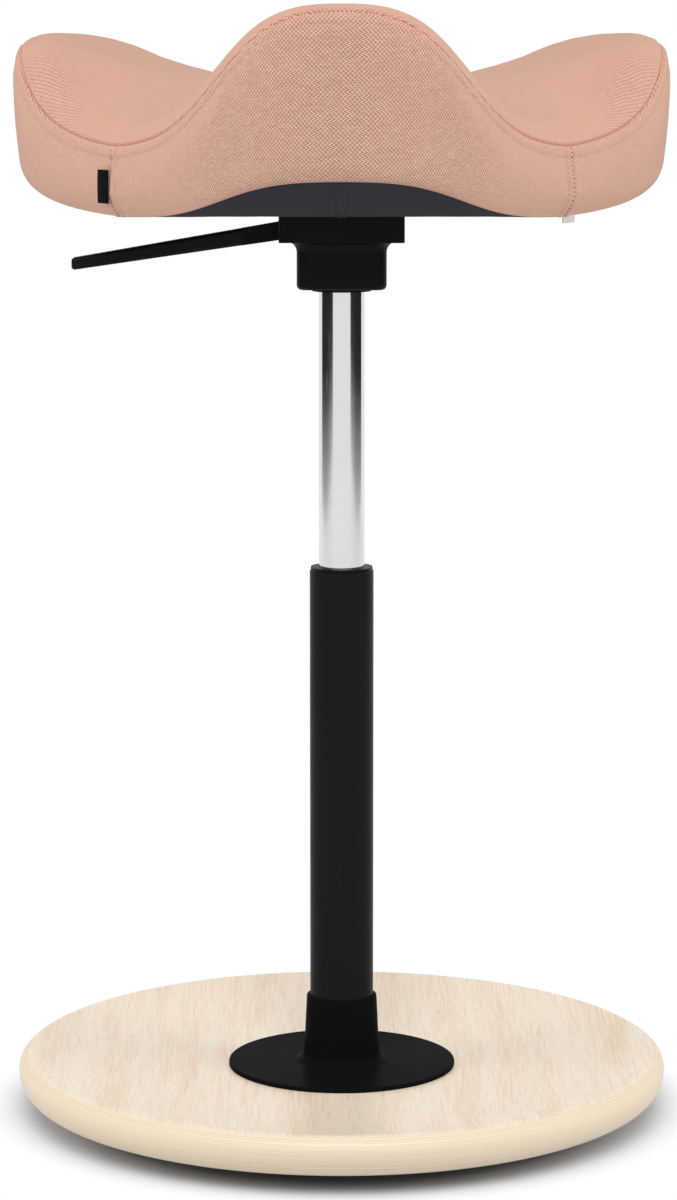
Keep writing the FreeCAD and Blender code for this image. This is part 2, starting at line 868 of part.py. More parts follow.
def top_cover_steps(azimuth):
    skin = seat_points(azimuth, 0.0)
    back = seat_points(azimuth, cover_thickness)
    inner = centre_flat_radius / 2
    return [
        ((inner, skin["centre_z"]), skin["centre"]),
        (skin["centre"], skin["slope"], skin["crest"]),
        (skin["crest"], skin["round"], skin["seam"]),
        (skin["seam"], back["seam"]),
        (back["seam"], back["round"], back["crest"]),
        (back["crest"], back["slope"], back["centre"]),
        (back["centre"], (inner, back["centre_z"])),
        ((inner, back["centre_z"]), (inner, skin["centre_z"])),
    ]


def band_steps(azimuth):
    skin = seat_points(azimuth, 0.0)
    back = seat_points(azimuth, cover_thickness)
    drop = soft_gap
    outer_top = (skin["seam"][0], skin["seam"][1] - drop)
    inner_top = (back["seam"][0], back["seam"][1] - drop)
    outer_foot = (skin["foot"][0] + soft_gap, skin["foot"][1])
    inner_foot = (skin["foot"][0] + soft_gap, back["foot"][1])
    return [
        (outer_foot, skin["corner"], skin["lift"]),
        (skin["lift"], skin["flank"], skin["belly"]),
        (skin["belly"], skin["shoulder"], outer_top),
        (outer_top, inner_top),
        (inner_top, back["shoulder"], back["belly"]),
        (back["belly"], back["flank"], back["lift"]),
        (back["lift"], back["corner"], inner_foot),
        (inner_foot, outer_foot),
    ]


def make_seat():
    top = seat_plane + centre_height
    low = seat_plane + shell_low()
    high = low + shell_thickness
    under = three_lobes(underside_steps, seat_plane, seat_plane + cover_thickness)
    shell = three_lobes(shell_steps, low, high)
    flange_seat = high - tee_flange_thickness
    for x, y in seat_screw_places():
        under = under.cut(disc(seat_screw_radius + bolt_gap, seat_plane - 1, low, x, y))
        shell = shell.cut(disc(tee_barrel_radius + slip, low - 1, high + 1, x, y))
        shell = shell.cut(disc(tee_flange_radius + slip, flange_seat, high + 1, x, y))
    save(under, "seat_underside_cover")
    save(shell, "seat_shell")
    foam_top = top - cover_thickness - foam_gap
    save(three_lobes(foam_steps, high + soft_gap, foam_top), "seat_foam")
    save(three_lobes(top_cover_steps, top - cover_thickness, top), "seat_top_cover")
    bands = (("front", 0), ("right", 120), ("left", 240))
    for side, azimuth in bands:
        save(lobe_loft(azimuth, band_steps, 0.1), "seat_band_" + side)


def make_seat_fixings():
    low = seat_plane + shell_low()
    high = low + shell_thickness
    head_top = block_bottom + seat_screw_recess
    screws = []
    tees = []
    for x, y in seat_screw_places():
        head = disc(seat_screw_head_radius, head_top - seat_screw_head_height, head_top, x, y)
        screws.append(head.fuse(disc(seat_screw_radius, head_top, high, x, y)).removeSplitter())
        bore = disc(seat_screw_radius + slip, low, high, x, y)
        barrel = disc(tee_barrel_radius, low, high, x, y)
        flange = disc(tee_flange_radius, high - tee_flange_thickness, high, x, y)
        tees.append(barrel.fuse(flange).removeSplitter().cut(bore))
    save(Part.makeCompound(screws), "seat_screws")
    save(Part.makeCompound(tees), "seat_tee_nuts")


def belly_place(azimuth, outset):
    radius, height = seat_points(azimuth, 0.0)["belly"]
    return at_azimuth(azimuth, radius + outset, height)


def foot_place(azimuth, outset):
    radius, height = seat_points(azimuth, 0.0)["foot"]
    return at_azimuth(azimuth, radius + outset, height)


def upright_label(start, end, width, thickness, bottom, top):
    # A flat label that stands from start towards end, its back on the line between them
    along = Vector(end.x - start.x, end.y - start.y, 0).normalize()
    outward = Vector(start.x, start.y, 0).normalize()
    side = Vector(-along.y, along.x, 0)
    if side.dot(outward) < 0:
        side = side * -1
    low = Vector(start.x, start.y, bottom)
    corners = [low, low + along * width, low + along * width + side * thickness, low + side * thickness]
    face = Part.Face(Part.makePolygon(corners + corners[:1]))
    return face.extrude(Vector(0, 0, top - bottom))


def make_labels():
    waist = 60.0
    turn = math.degrees(tag_width / seam_radius(waist))
    tag_low = seat_plane + tag_bottom
    tag_start = belly_place(-waist, label_gap)
    tag_end = belly_place(-waist - turn, label_gap)
    tag = upright_label(tag_start, tag_end, tag_width, tag_thickness, tag_low, tag_low + tag_height)
    save(tag, "seat_side_tag")
    tab_turn = math.degrees(care_tab_width / seam_radius(waist))
    tab_start = foot_place(waist, care_tab_tuck)
    tab_end = foot_place(waist + tab_turn, care_tab_tuck)
    tab_top = tab_start.z - care_tab_gap
    tab_low = tab_top - care_tab_drop
    tab = upright_label(tab_start, tab_end, care_tab_width, care_tab_thickness, tab_low, tab_top)
    save(tab, "seat_care_tab")


os.makedirs("parts", exist_ok=True)
make_base()
make_flange()
make_flange_fixings()
make_tube()
make_thrust_bearing()
make_rod()
make_piston()
make_cylinder()
make_housing()
make_lever()
make_seat()
make_seat_fixings()
make_labels()
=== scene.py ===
import math

import bmesh
import bpy
import numpy as np
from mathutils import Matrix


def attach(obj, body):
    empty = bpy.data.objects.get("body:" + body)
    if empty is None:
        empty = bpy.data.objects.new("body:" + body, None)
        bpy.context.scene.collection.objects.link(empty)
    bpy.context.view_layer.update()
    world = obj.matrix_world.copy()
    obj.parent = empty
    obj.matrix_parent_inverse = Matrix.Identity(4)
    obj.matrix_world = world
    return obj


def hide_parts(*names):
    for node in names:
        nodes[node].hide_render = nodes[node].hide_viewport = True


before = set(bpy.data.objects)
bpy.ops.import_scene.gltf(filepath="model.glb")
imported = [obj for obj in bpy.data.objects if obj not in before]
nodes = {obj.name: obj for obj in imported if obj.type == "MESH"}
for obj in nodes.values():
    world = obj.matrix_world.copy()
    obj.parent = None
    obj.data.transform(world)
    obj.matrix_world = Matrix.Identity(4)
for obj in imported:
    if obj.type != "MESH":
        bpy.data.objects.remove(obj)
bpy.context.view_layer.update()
scene = bpy.context.scene
scene.view_settings.view_transform = "Standard"
print("frame loaded,", len(nodes), "nodes")

# camera, fitted to the photograph's ellipses and edges (metres, degrees)
cameraSet = {
    "place": (0.0, -2.2477, 0.6507), "down": 8.38,
    "data": {"lens": 111.43, "sensor_width": 36, "shift_x": -0.00266, "clip_end": 100},
}


def assign(thing, settings):
    for name, value in settings.items():
        setattr(thing, name, value)


def addObject(name, data):
    item = bpy.data.objects.new(name, data)
    scene.collection.objects.link(item)
    return item


camera = addObject("stoolCamera", bpy.data.cameras.new("stoolCamera"))
assign(camera.data, cameraSet["data"])
camera.location = cameraSet["place"]
camera.rotation_euler = (math.radians(90 - cameraSet["down"]), 0, 0)
scene.camera = camera


def screen(red, green, blue):
    # screen values 0-255 to the linear numbers that shaders take
    linear = [((c / 255 + 0.055) / 1.055) ** 2.4 if c > 10 else c / 3294.6 for c in (red, green, blue)]
    return (*linear, 1.0)


def fill(node, values):
    # a socket is linked, anything else becomes the input's own value
    for key, value in values.items():
        if isinstance(value, bpy.types.NodeSocket):
            node.id_data.links.new(value, node.inputs[key])
        else:
            node.inputs[key].default_value = value
    return node


def put(tree, kind, values=None, **settings):
    # makes a node and gives its outputs
    node = tree.nodes.new("ShaderNode" + kind)
    assign(node, settings)
    return fill(node, values or {}).outputs


def home(values):
    # the node tree that the first socket among the values belongs to
    return next(value.id_data for value in values if isinstance(value, bpy.types.NodeSocket))


def calc(operation, *values):
    return put(home(values), "Math", dict(enumerate(values)), operation=operation)[0]


def vectorCalc(operation, *values):
    result = "Value" if operation in ("LENGTH", "DISTANCE") else "Vector"
    return put(home(values), "VectorMath", dict(enumerate(values)), operation=operation)[result]


def scaled(vector, factor):
    return put(vector.id_data, "VectorMath", {0: vector, "Scale": factor}, operation="SCALE")["Vector"]


def axes(place):
    return put(place.id_data, "SeparateXYZ", {0: place})


def joined(*parts):
    return put(home(parts), "CombineXYZ", dict(enumerate(parts)))[0]


def noise(place, scale, detail, roughness=0.5):
    return put(place.id_data, "TexNoise", {"Vector": place, "Scale": scale, "Detail": detail,
                                           "Roughness": roughness})["Fac"]


def smooth(value, low, high, outLow=0.0, outHigh=1.0):
    return put(value.id_data, "MapRange", {"Value": value, "From Min": low, "From Max": high, "To Min": outLow,
                                           "To Max": outHigh}, interpolation_type="SMOOTHSTEP")["Result"]


def blendColour(share, first, second):
    return put(share.id_data, "Mix", {0: share, 6: first, 7: second}, data_type="RGBA")[2]


def ramp(value, stops):
    # stops are (place, screen colour) pairs
    node = fill(value.id_data.nodes.new("ShaderNodeValToRGB"), {0: value})
    marks = node.color_ramp.elements
    while len(marks) < len(stops):
        marks.new(0.5)
    for mark, (place, colour) in zip(marks, stops):
        mark.position = place
        mark.color = screen(*colour)
    return node.outputs[0]


def newGroup(name, numbers, results):
    # a group takes a place as Vector and the named numbers, and gives the named results
    group = bpy.data.node_groups.new(name, "ShaderNodeTree")
    newSocket = group.interface.new_socket
    newSocket(name="Vector", in_out="INPUT", socket_type="NodeSocketVector")
    for label in numbers:
        newSocket(name=label, in_out="INPUT", socket_type="NodeSocketFloat")
    for label in results:
        newSocket(name=label, in_out="OUTPUT", socket_type="NodeSocketFloat")
    given = group.nodes.new("NodeGroupInput").outputs
    return group, given, group.nodes.new("NodeGroupOutput")


def useGroup(group, place, **numbers):
    node = place.id_data.nodes.new("ShaderNodeGroup")
    node.node_tree = group
    return fill(node, {"Vector": place, **numbers}).outputs


def newMaterial(name):
    material = bpy.data.materials.new(name)
    material.use_nodes = True
    material.node_tree.nodes.clear()
    return material, material.node_tree


def objectPlace(tree):
    return put(tree, "TexCoord")["Object"]


def shifted(amount, centre, value):
    # centre + (value - 0.5) * amount
    return calc("MULTIPLY_ADD", calc("SUBTRACT", value, 0.5), amount, centre)


# studio
studioSet = {
    "floorHalf": 14.0, "floorLevel": -0.0003, "floorColour": (0.69, 0.715, 0.75, 1),
    "whiteFrom": 0.185, "whiteTo": 0.225, "whiteCentre": (0.0, 0.02, 0.0), "ambient": 0.40,
    "keyPlace": (0.0, -2.05, 2.35), "keySize": 1.5, "keyWatts": 40.0,
    "fillPlace": (2.2, -0.45, 1.15), "fillSize": 1.4, "fillWatts": 18.5, "aimHeight": 0.35,
    "cardSide": 3.0, "cardFront": -3.1, "cardBack": 1.45, "cardHeight": 1.3,
    "cardFade": 0.2, "cardFootGrey": 0.45, "cardGrey": 0.02,
}


def addMesh(name, points, faces, material):
    mesh = bpy.data.meshes.new(name)
    mesh.from_pydata(points, [], faces)
    mesh.materials.append(material)
    return addObject(name, mesh)


def flatSheet(name, corners, material):
    item = addMesh(name, corners, [(0, 1, 2, 3)], material)
    return item


def seenDirectly(tree):
    # 1 for rays from the camera and for what metal and clear things show of the surroundings
    path = put(tree, "LightPath")
    return calc("MAXIMUM", calc("MAXIMUM", path["Is Camera Ray"], path["Is Glossy Ray"]),
                path["Is Transmission Ray"])


def softbox(name, place, size, watts):
    # a square lamp turned towards the middle of the stool
    lamp = addObject(name, bpy.data.lights.new(name, "AREA"))
    assign(lamp.data, {"shape": "SQUARE", "size": size, "energy": watts})
    x, y, z = place
    lamp.location = place
    lamp.rotation_euler = (math.atan2(math.hypot(x, y), z - studioSet["aimHeight"]), 0, math.atan2(x, -y))
    return lamp


def white(tree, kind, strength):
    return put(tree, kind, {"Color": (1, 1, 1, 1), "Strength": strength})[0]


def makeFloor():
    # paper that shades near the stool and turns pure white further out, where it is seen directly
    s = studioSet
    material, tree = newMaterial("whiteSweep")
    paper = put(tree, "BsdfPrincipled", {"Base Color": s["floorColour"], "Roughness": 0.9, "Specular IOR Level": 0.1})
    away = vectorCalc("DISTANCE", objectPlace(tree), s["whiteCentre"])
    share = calc("MULTIPLY", smooth(away, s["whiteFrom"], s["whiteTo"]), seenDirectly(tree))
    mix = put(tree, "MixShader", {0: share, 1: paper[0], 2: white(tree, "Emission", 1.0)})
    put(tree, "OutputMaterial", {0: mix[0]})
    half, low = s["floorHalf"], s["floorLevel"]
    corners = [(-half, -half, low), (half, -half, low), (half, half, low), (-half, half, low)]
    flatSheet("studioFloor", corners, material)


def makeCards():
    # dark cards at both sides give polished metal its two dark bands; nothing else sees them
    s = studioSet
    material, tree = newMaterial("darkCard")
    height = axes(objectPlace(tree))[2]
    shade = smooth(height, 0.0, s["cardFade"], s["cardFootGrey"], s["cardGrey"])
    put(tree, "OutputMaterial", {0: white(tree, "Emission", shade)})
    front, back, top = s["cardFront"], s["cardBack"], s["cardHeight"]
    for name, x in (("cardLeft", -s["cardSide"]), ("cardRight", s["cardSide"])):
        card = flatSheet(name, [(x, front, 0), (x, back, 0), (x, back, top), (x, front, top)], material)
        card.visible_camera = card.visible_diffuse = card.visible_shadow = card.visible_transmission = False


def makeLamps():
    # the fills brighten cloth and wood only: metal would show them as white squares
    s = studioSet
    softbox("frontSoftbox", s["keyPlace"], s["keySize"], s["keyWatts"])
    x, y, z = s["fillPlace"]
    for name, place in (("fillLeft", (-x, y, z)), ("fillRight", (x, y, z))):
        softbox(name, place, s["fillSize"], s["fillWatts"]).visible_glossy = False


def makeWorld():
    world = bpy.data.worlds.new("studioWorld")
    scene.world = world
    world.use_nodes = True
    tree = world.node_tree
    tree.nodes.clear()
    mix = put(tree, "MixShader", {0: seenDirectly(tree), 1: white(tree, "Background", studioSet["ambient"]),
                                  2: white(tree, "Background", 1.0)})
    put(tree, "OutputWorld", {0: mix[0]})


makeFloor()
makeCards()
makeLamps()
makeWorld()
print("camera and studio ready")


# effects that several materials share
def makeKnitGroup():
    # rows of slanted strokes whose lean turns over from row to row, as in a herringbone knit;
    # stroke = triangle wave of u / stitch + slant * zigzag(v / row), pinched where two rows meet
    group, given, end = newGroup("knitStrokes", ("Stitch", "Row", "Slant", "Pinch"), ("Height", "Thread"))
    wobble = put(group, "TexNoise", {"Vector": given["Vector"], "Scale": 0.05, "Detail": 1.0})["Color"]
    shift = scaled(vectorCalc("SUBTRACT", wobble, (0.5, 0.5, 0.5)), 1.6)
    u, v, _ = axes(vectorCalc("ADD", given["Vector"], shift))
    up = calc("DIVIDE", v, given["Row"])
    zigzag = calc("PINGPONG", up, 1.0)
    lean = calc("MULTIPLY_ADD", zigzag, given["Slant"], calc("DIVIDE", u, given["Stitch"]))
    wave = calc("MULTIPLY_ADD", calc("FRACT", lean), 2.0, -1.0)
    stroke = smooth(calc("SUBTRACT", 1.0, calc("ABSOLUTE", wave)), 0.0, 0.85)
    row = calc("SINE", calc("MULTIPLY", calc("FRACT", up), math.pi))
    body = calc("MULTIPLY_ADD", row, given["Pinch"], calc("SUBTRACT", 1.0, given["Pinch"]))
    cell = joined(calc("FLOOR", lean), calc("FLOOR", up))
    thread = put(group, "TexWhiteNoise", {"Vector": cell}, noise_dimensions="2D")["Value"]
    fill(end, {"Height": calc("MULTIPLY", stroke, body), "Thread": thread})
    return group


def makeSpeckleGroup():
    # a fine grain and a broad mottle, each 0-1 about 0.5; Size is the fine grain's width in millimetres
    group, given, end = newGroup("surfaceSpeckle", ("Size",), ("Fine", "Broad"))
    scale = calc("DIVIDE", 1000.0, given["Size"])
    fill(end, {"Fine": noise(given["Vector"], scale, 2.0, 0.6),
               "Broad": noise(given["Vector"], 22.0, 3.0, 0.55)})
    return group


def makeHandlingGroup():
    # hairline scratches that run mostly up and down, and soft smudges where hands go
    group, given, end = newGroup("handlingMarks", ("Density",), ("Scratch", "Smudge"))
    place = given["Vector"]
    thin = put(group, "Mapping", {"Vector": place, "Scale": (900.0, 900.0, 26.0), "Rotation": (0.05, 0.03, 0)})
    line = smooth(noise(thin[0], 1.0, 1.0), 0.62, 0.72)
    where = smooth(noise(place, 34.0, 2.0), 0.48, 0.68)
    scratch = calc("MULTIPLY", calc("MULTIPLY", line, where), given["Density"])
    fill(end, {"Scratch": scratch, "Smudge": smooth(noise(place, 14.0, 4.0, 0.6), 0.35, 0.75)})
    return group


def makeGrainGroup():
    # wood fibres along Y: fine lines and a broad figure, both bent by a slow noise, and short straight pores
    group, given, end = newGroup("birchGrain", (), ("Fibre", "Figure", "Pore"))
    x, y, z = axes(given["Vector"])
    bent = calc("MULTIPLY_ADD", noise(given["Vector"], 5.0, 2.0), 0.009, x)

    def stretched(across, scales, detail, roughness=0.5):
        place = vectorCalc("MULTIPLY", joined(across, y, z), scales)
        return noise(place, 1.0, detail, roughness)

    fill(end, {"Fibre": stretched(bent, (900.0, 22.0, 60.0), 3.0, 0.65),
               "Figure": stretched(bent, (60.0, 3.5, 3.0), 4.0),
               "Pore": smooth(stretched(x, (1500.0, 110.0, 0.0), 0.0), 0.66, 0.76)})
    return group


knitStrokes = makeKnitGroup()
surfaceSpeckle = makeSpeckleGroup()
handlingMarks = makeHandlingGroup()
birchGrain = makeGrainGroup()


def tinted(colour, factor, lift=0.0):
    return (*(min(1.0, factor * c + lift) for c in colour[:3]), 1.0)


def speckled(name, size):
    # a new material with the shared grain, its size in millimetres
    material, tree = newMaterial(name)
    place = objectPlace(tree)
    return material, place, useGroup(surfaceSpeckle, place, Size=size)


def surfaced(material, colour, roughness, relief, more):
    # relief is the bump's height, strength and distance in metres
    tree = material.node_tree
    bump = put(tree, "Bump", dict(zip(("Height", "Strength", "Distance"), relief)))[0]
    shader = put(tree, "BsdfPrincipled", {"Base Color": colour, "Roughness": roughness, "Normal": bump, **more})
    put(tree, "OutputMaterial", {0: shader[0]})
    return material


# seat materials: what both knits share, then the look of each
# gap is a painted shade in the gaps between threads, where the cloth faces the camera
clothSet = {
    "grain": 0.5, "threadShare": 0.22, "fineShare": 0.25, "broadShare": 0.16, "fuzz": 0.3,
    "slantFrom": 0.3, "slantTo": 0.68, "slantShare": 0.2, "gap": 0.06, "relief": 0.9, "reliefLost": 0.7,
}
# valley, body and ridge colour the knit's low parts, middle and tops: painted shade in the valleys, painted light on
# the ridges
knitSet = {
    "stitch": 2.45, "row": 1.29, "slant": 1.0, "pinch": 0.35,
    "valley": (172, 121, 99), "body": (220, 174, 151), "ridge": (240, 201, 180),
    "bump": 0.00030, "roughness": 0.88, "sheen": 0.08, "shine": 0.2, "slantLevel": 0.44,
}
underSet = {
    "stitch": 1.3, "row": 0.7, "slant": 1.0, "pinch": 0.4,
    "valley": (40, 38, 44), "body": (62, 60, 67), "ridge": (86, 84, 92),
    "bump": 0.00012, "roughness": 0.92, "sheen": 0.0, "shine": 0.03, "slantLevel": 0.45,
}


def knitMaterial(name, look, mapName):
    s = clothSet
    material, _, speckle = speckled(name, s["grain"])
    tree = material.node_tree
    inMillimetres = scaled(put(tree, "UVMap", uv_map=mapName)[0], 1000.0)
    knit = useGroup(knitStrokes, inMillimetres, Stitch=look["stitch"], Row=look["row"],
                    Slant=look["slant"], Pinch=look["pinch"])
    level = shifted(s["threadShare"], knit["Height"], knit["Thread"])
    level = shifted(s["fineShare"], level, speckle["Fine"])
    level = shifted(s["broadShare"], level, speckle["Broad"])
    # face-on, the gaps between threads get a painted shade (gap); threads hide the gaps where the cloth is seen at a
    # slant, so the pattern and its painted shade fade there
    facing = put(tree, "LayerWeight", {"Blend": 0.5})["Facing"]
    slant = smooth(facing, s["slantFrom"], s["slantTo"])
    level = put(tree, "Mix", {0: slant, 2: calc("SUBTRACT", level, s["gap"]),
                              3: shifted(s["slantShare"], look["slantLevel"], level)})[0]
    # darker in the knit's valleys and lighter on its ridges: painted shade between the stitches and painted light on
    # their tops; the thread and speckle tones are the yarn's own
    colour = ramp(level, [(0.0, look["valley"]), (0.5, look["body"]), (1.0, look["ridge"])])
    height = shifted(s["fuzz"], knit["Height"], speckle["Fine"])
    strength = calc("SUBTRACT", s["relief"], calc("MULTIPLY", slant, s["reliefLost"]))
    return surfaced(material, colour, look["roughness"], (height, strength, look["bump"]), {
        "Specular IOR Level": look["shine"], "Sheen Weight": look["sheen"], "Sheen Roughness": 0.5})


def threadMaterial(name, colour):
    # sewing thread, unevenly dyed and slightly fuzzy
    material, _, speckle = speckled(name, 0.25)
    base = screen(*colour)
    tint = blendColour(speckle["Fine"], tinted(base, 0.75), base)
    return surfaced(material, tint, 0.7, (speckle["Fine"], 0.6, 0.0001), {})


def wovenLabel(name, colour, thread):
    # a flat woven ribbon: ribs 0.6 mm apart across the label and a faint thread variation; the colour follows the
    # ribs, with the thread colour on their tops as painted light and the ribbon colour between them as painted shade
    material, place, speckle = speckled(name, 0.3)
    rib = calc("SINE", calc("MULTIPLY", axes(place)[2], math.tau / 0.0006))
    rib = calc("MULTIPLY_ADD", rib, 0.5, 0.5)
    tint = blendColour(shifted(0.6, rib, speckle["Fine"]), screen(*colour), screen(*thread))
    return surfaced(material, tint, 0.65, (rib, 0.5, 0.00008), {"Specular IOR Level": 0.02})


# materials of the carried-over CAD nodes
def paintedSteel(name, colour, roughness, grain, depth, shine=0.08):
    # powder coat: a fine orange-peel grain, a slight mottle in gloss and rubbed hairlines
    material, place, speckle = speckled(name, grain)
    marks = useGroup(handlingMarks, place, Density=0.5)
    base = screen(*colour)
    tint = blendColour(calc("MULTIPLY", marks["Scratch"], 0.5), base, tinted(base, 1.5, 0.004))
    gloss = shifted(0.16, roughness, speckle["Broad"])
    gloss = calc("MULTIPLY_ADD", marks["Smudge"], 0.06, gloss)
    return surfaced(material, tint, gloss, (speckle["Fine"], 0.5, depth), {"Specular IOR Level": shine})


def bareMetal(name, colour, roughness, grain=0.4, depth=0.00002, wear=0.6):
    # plated or polished metal with faint hairlines and smudges in its gloss
    material, place, speckle = speckled(name, grain)
    marks = useGroup(handlingMarks, place, Density=wear)
    base = screen(*colour)
    tint = blendColour(speckle["Broad"], tinted(base, 0.86), base)
    gloss = calc("MULTIPLY_ADD", marks["Smudge"], 0.05, roughness)
    gloss = calc("MULTIPLY_ADD", marks["Scratch"], 0.12, gloss)
    return surfaced(material, tint, gloss, (speckle["Fine"], 0.3, depth), {"Metallic": 1.0})


def mouldedPlastic(name, colour, roughness, grain=0.5, depth=0.00004, shine=0.08):
    # moulded plastic or rubber: spark-eroded grain, a slow change of gloss and a little dust
    material, _, speckle = speckled(name, grain)
    base = screen(*colour)
    dust = smooth(speckle["Broad"], 0.35, 0.8)
    tint = blendColour(dust, base, tinted(base, 1.35, 0.006))
    gloss = shifted(0.14, roughness, speckle["Broad"])
    return surfaced(material, tint, gloss, (speckle["Fine"], 0.6, depth), {"Specular IOR Level": shine})


birchSet = {
    "pale": (252, 236, 214), "warm": (235, 204, 168), "pore": (208, 180, 146),
    "edgePale": (249, 233, 207), "edgeEnd": (238, 213, 180), "glue": (188, 148, 108),
    "plyPitch": 1.4, "rimRise": 0.0115, "rimRadius": 0.2, "layersFrom": 0.0031,
}


def birchFace(name):
    # lacquered birch veneer, fibres front to back
    material, tree = newMaterial(name)
    grain = useGroup(birchGrain, objectPlace(tree))
    level = shifted(0.9, shifted(1.35, 0.5, grain["Fibre"]), grain["Figure"])
    wood = ramp(level, [(0.1, birchSet["warm"]), (0.6, birchSet["pale"])])
    wood = blendColour(calc("MULTIPLY", grain["Pore"], 0.35), wood, screen(*birchSet["pore"]))
    gloss = shifted(0.15, 0.42, grain["Fibre"])
    return surfaced(material, wood, gloss, (grain["Fibre"], 0.35, 0.00006), {
        "Coat Weight": 0.2, "Coat Roughness": 0.3})


def birchEdge(name):
    # sanded plywood edge: plies that follow the dish, end grain and long grain by turns, thin glue lines
    material, place, speckle = speckled(name, 0.8)
    tree = material.node_tree
    x, y, z = axes(place)
    radius = vectorCalc("LENGTH", joined(x, y))
    part = calc("DIVIDE", radius, birchSet["rimRadius"])
    rise = calc("MULTIPLY", calc("POWER", part, 2.0), birchSet["rimRise"])
    depth = calc("SUBTRACT", calc("SUBTRACT", z, rise), birchSet["layersFrom"])
    depth = shifted(0.0006, depth, noise(place, 9.0, 2.0))
    layer = calc("DIVIDE", depth, birchSet["plyPitch"] / 1000)
    number = calc("FLOOR", layer)
    middle = calc("SUBTRACT", calc("FRACT", layer), 0.5)
    glue = smooth(calc("ABSOLUTE", middle), 0.36, 0.5)
    odd = calc("MODULO", calc("ABSOLUTE", number), 2.0)
    reach = calc("MAXIMUM", radius, 0.001)
    sideways, lengthways = (calc("DIVIDE", calc("ABSOLUTE", side), reach) for side in (x, y))
    endGrain = put(tree, "Mix", {0: odd, 2: sideways, 3: lengthways})[0]
    tone = put(tree, "TexWhiteNoise", {"W": number}, noise_dimensions="1D")["Value"]
    level = calc("MULTIPLY_ADD", endGrain, 0.2, shifted(0.25, 0.2, tone))
    level = shifted(0.5, level, speckle["Fine"])
    wood = blendColour(level, screen(*birchSet["edgePale"]), screen(*birchSet["edgeEnd"]))
    wood = blendColour(calc("MULTIPLY", glue, 0.42), wood, screen(*birchSet["glue"]))
    relief = calc("MULTIPLY_ADD", glue, -0.7, calc("MULTIPLY", speckle["Fine"], 0.5))
    gloss = shifted(0.12, 0.5, useGroup(birchGrain, place)["Fibre"])
    return surfaced(material, wood, gloss, (relief, 0.4, 0.0001), {"Coat Weight": 0.15, "Coat Roughness": 0.35})


def dressFrame():
    byMaterial = {
        birchFace("birchFace"): ("base_top_veneer", "base_bottom_veneer"),
        birchEdge("birchEdge"): ("base_plywood_core", "seat_shell"),
        mouldedPlastic("soleRubber", (30, 30, 31), 0.75, 0.7, 0.00008): ("base_sole", "rod_buffer"),
        mouldedPlastic("sealRubber", (20, 20, 21), 0.6): ("piston_seal",),
        paintedSteel("flangePaint", (19, 19, 20), 0.36, 0.9, 0.00004, 0.003): ("column_flange",),
        paintedSteel("tubePaint", (27, 27, 28), 0.36, 0.9, 0.00003, 0.04): ("column_tube", "tube_foot"),
        paintedSteel("housingPaint", (18, 18, 19), 0.46, 0.8, 0.00005): ("mechanism_housing",),
        paintedSteel("leverPaint", (17, 17, 18), 0.46, 0.8, 0.00004): ("lever_arm",),
        bareMetal("chromedTube", (228, 229, 231), 0.085, 0.5, 0.000004, 0.8): ("pressure_cylinder",),
        bareMetal("groundRod", (205, 207, 209), 0.12): ("piston_rod",),
        bareMetal("valveAlloy", (190, 186, 176), 0.32): ("valve_body", "rod_gland", "piston_nut", "release_pin"),
        mouldedPlastic("pistonPlastic", (60, 62, 66), 0.4): ("piston",),
        mouldedPlastic("blackBush", (13, 13, 14), 0.42): ("guide_bush", "housing_ring"),
        mouldedPlastic("cagePlastic", (196, 190, 172), 0.45): ("thrust_cage",),
        mouldedPlastic("gripPlastic", (16, 16, 17), 0.46, 0.45, 0.00005): ("lever_grip",),
        bareMetal("zincPlate", (196, 198, 200), 0.3): (
            "flange_studs", "stud_washers", "stud_nuts", "rod_clip", "rod_washer", "lever_pivot_pin",
            "seat_screws", "seat_tee_nuts"),
        bareMetal("bearingSteel", (188, 190, 192), 0.18): ("thrust_race_lower", "thrust_race_upper", "thrust_balls"),
    }
    for material, names in byMaterial.items():
        for item in (nodes[name] for name in names):
            if not item.material_slots:
                item.data.materials.append(material)
            for slot in item.material_slots:
                slot.material = material


dressFrame()
print("frame materials ready")

# the seat's form, in millimetres; the front is -Y and azimuth turns towards +X
seatSet = {
    "plane": 556.0, "seamRadius": 180.7, "seamSwing": 32.4, "seamPeak": 4.3, "waistSeam": 41.6,
    "frontRise": 75.5, "rearRise": 61.2, "fullness": 0.68, "sharpness": 5.16, "narrowing": 1.72,
    "flatRadius": 62.0, "edgeLift": 0.2, "lobeLift": 24.9, "underBow": 0.25,
    "bulge": (4.0, 5.5, 5.6), "bellyDrop": (28.8, 8.4), "shoulderOut": 0.47, "shoulderDown": 0.33,
    "footInset": 4.3, "flankInset": 0.3, "footHeight": 4.6, "footWidth": 9.0, "cornerIn": 0.59, "cornerUp": 0.3,
    "seamToRound": 8.0, "roundRise": (11.8, 12.1, 4.3), "seamToCrest": 20.0, "crestRise": (16.5, 23.1, 4.2),
    "slopeReach": 0.55, "slopeRise": 0.31, "centreHeight": 73.9, "centreFlat": 25.0,
    "shellLow": 1.5, "shellHigh": 9.8, "shellMargin": 8.7, "waistRadius": 154.6,
    "topSoftening": 6.0, "bandSoftening": 4.0,
}


def between(values, share):
    # from the waist's value to the lobe's, pulled towards the flank's on the way
    waist, flank, lobe = values
    return waist * (1 - share) ** 2 + 2 * flank * share * (1 - share) + lobe * share ** 2


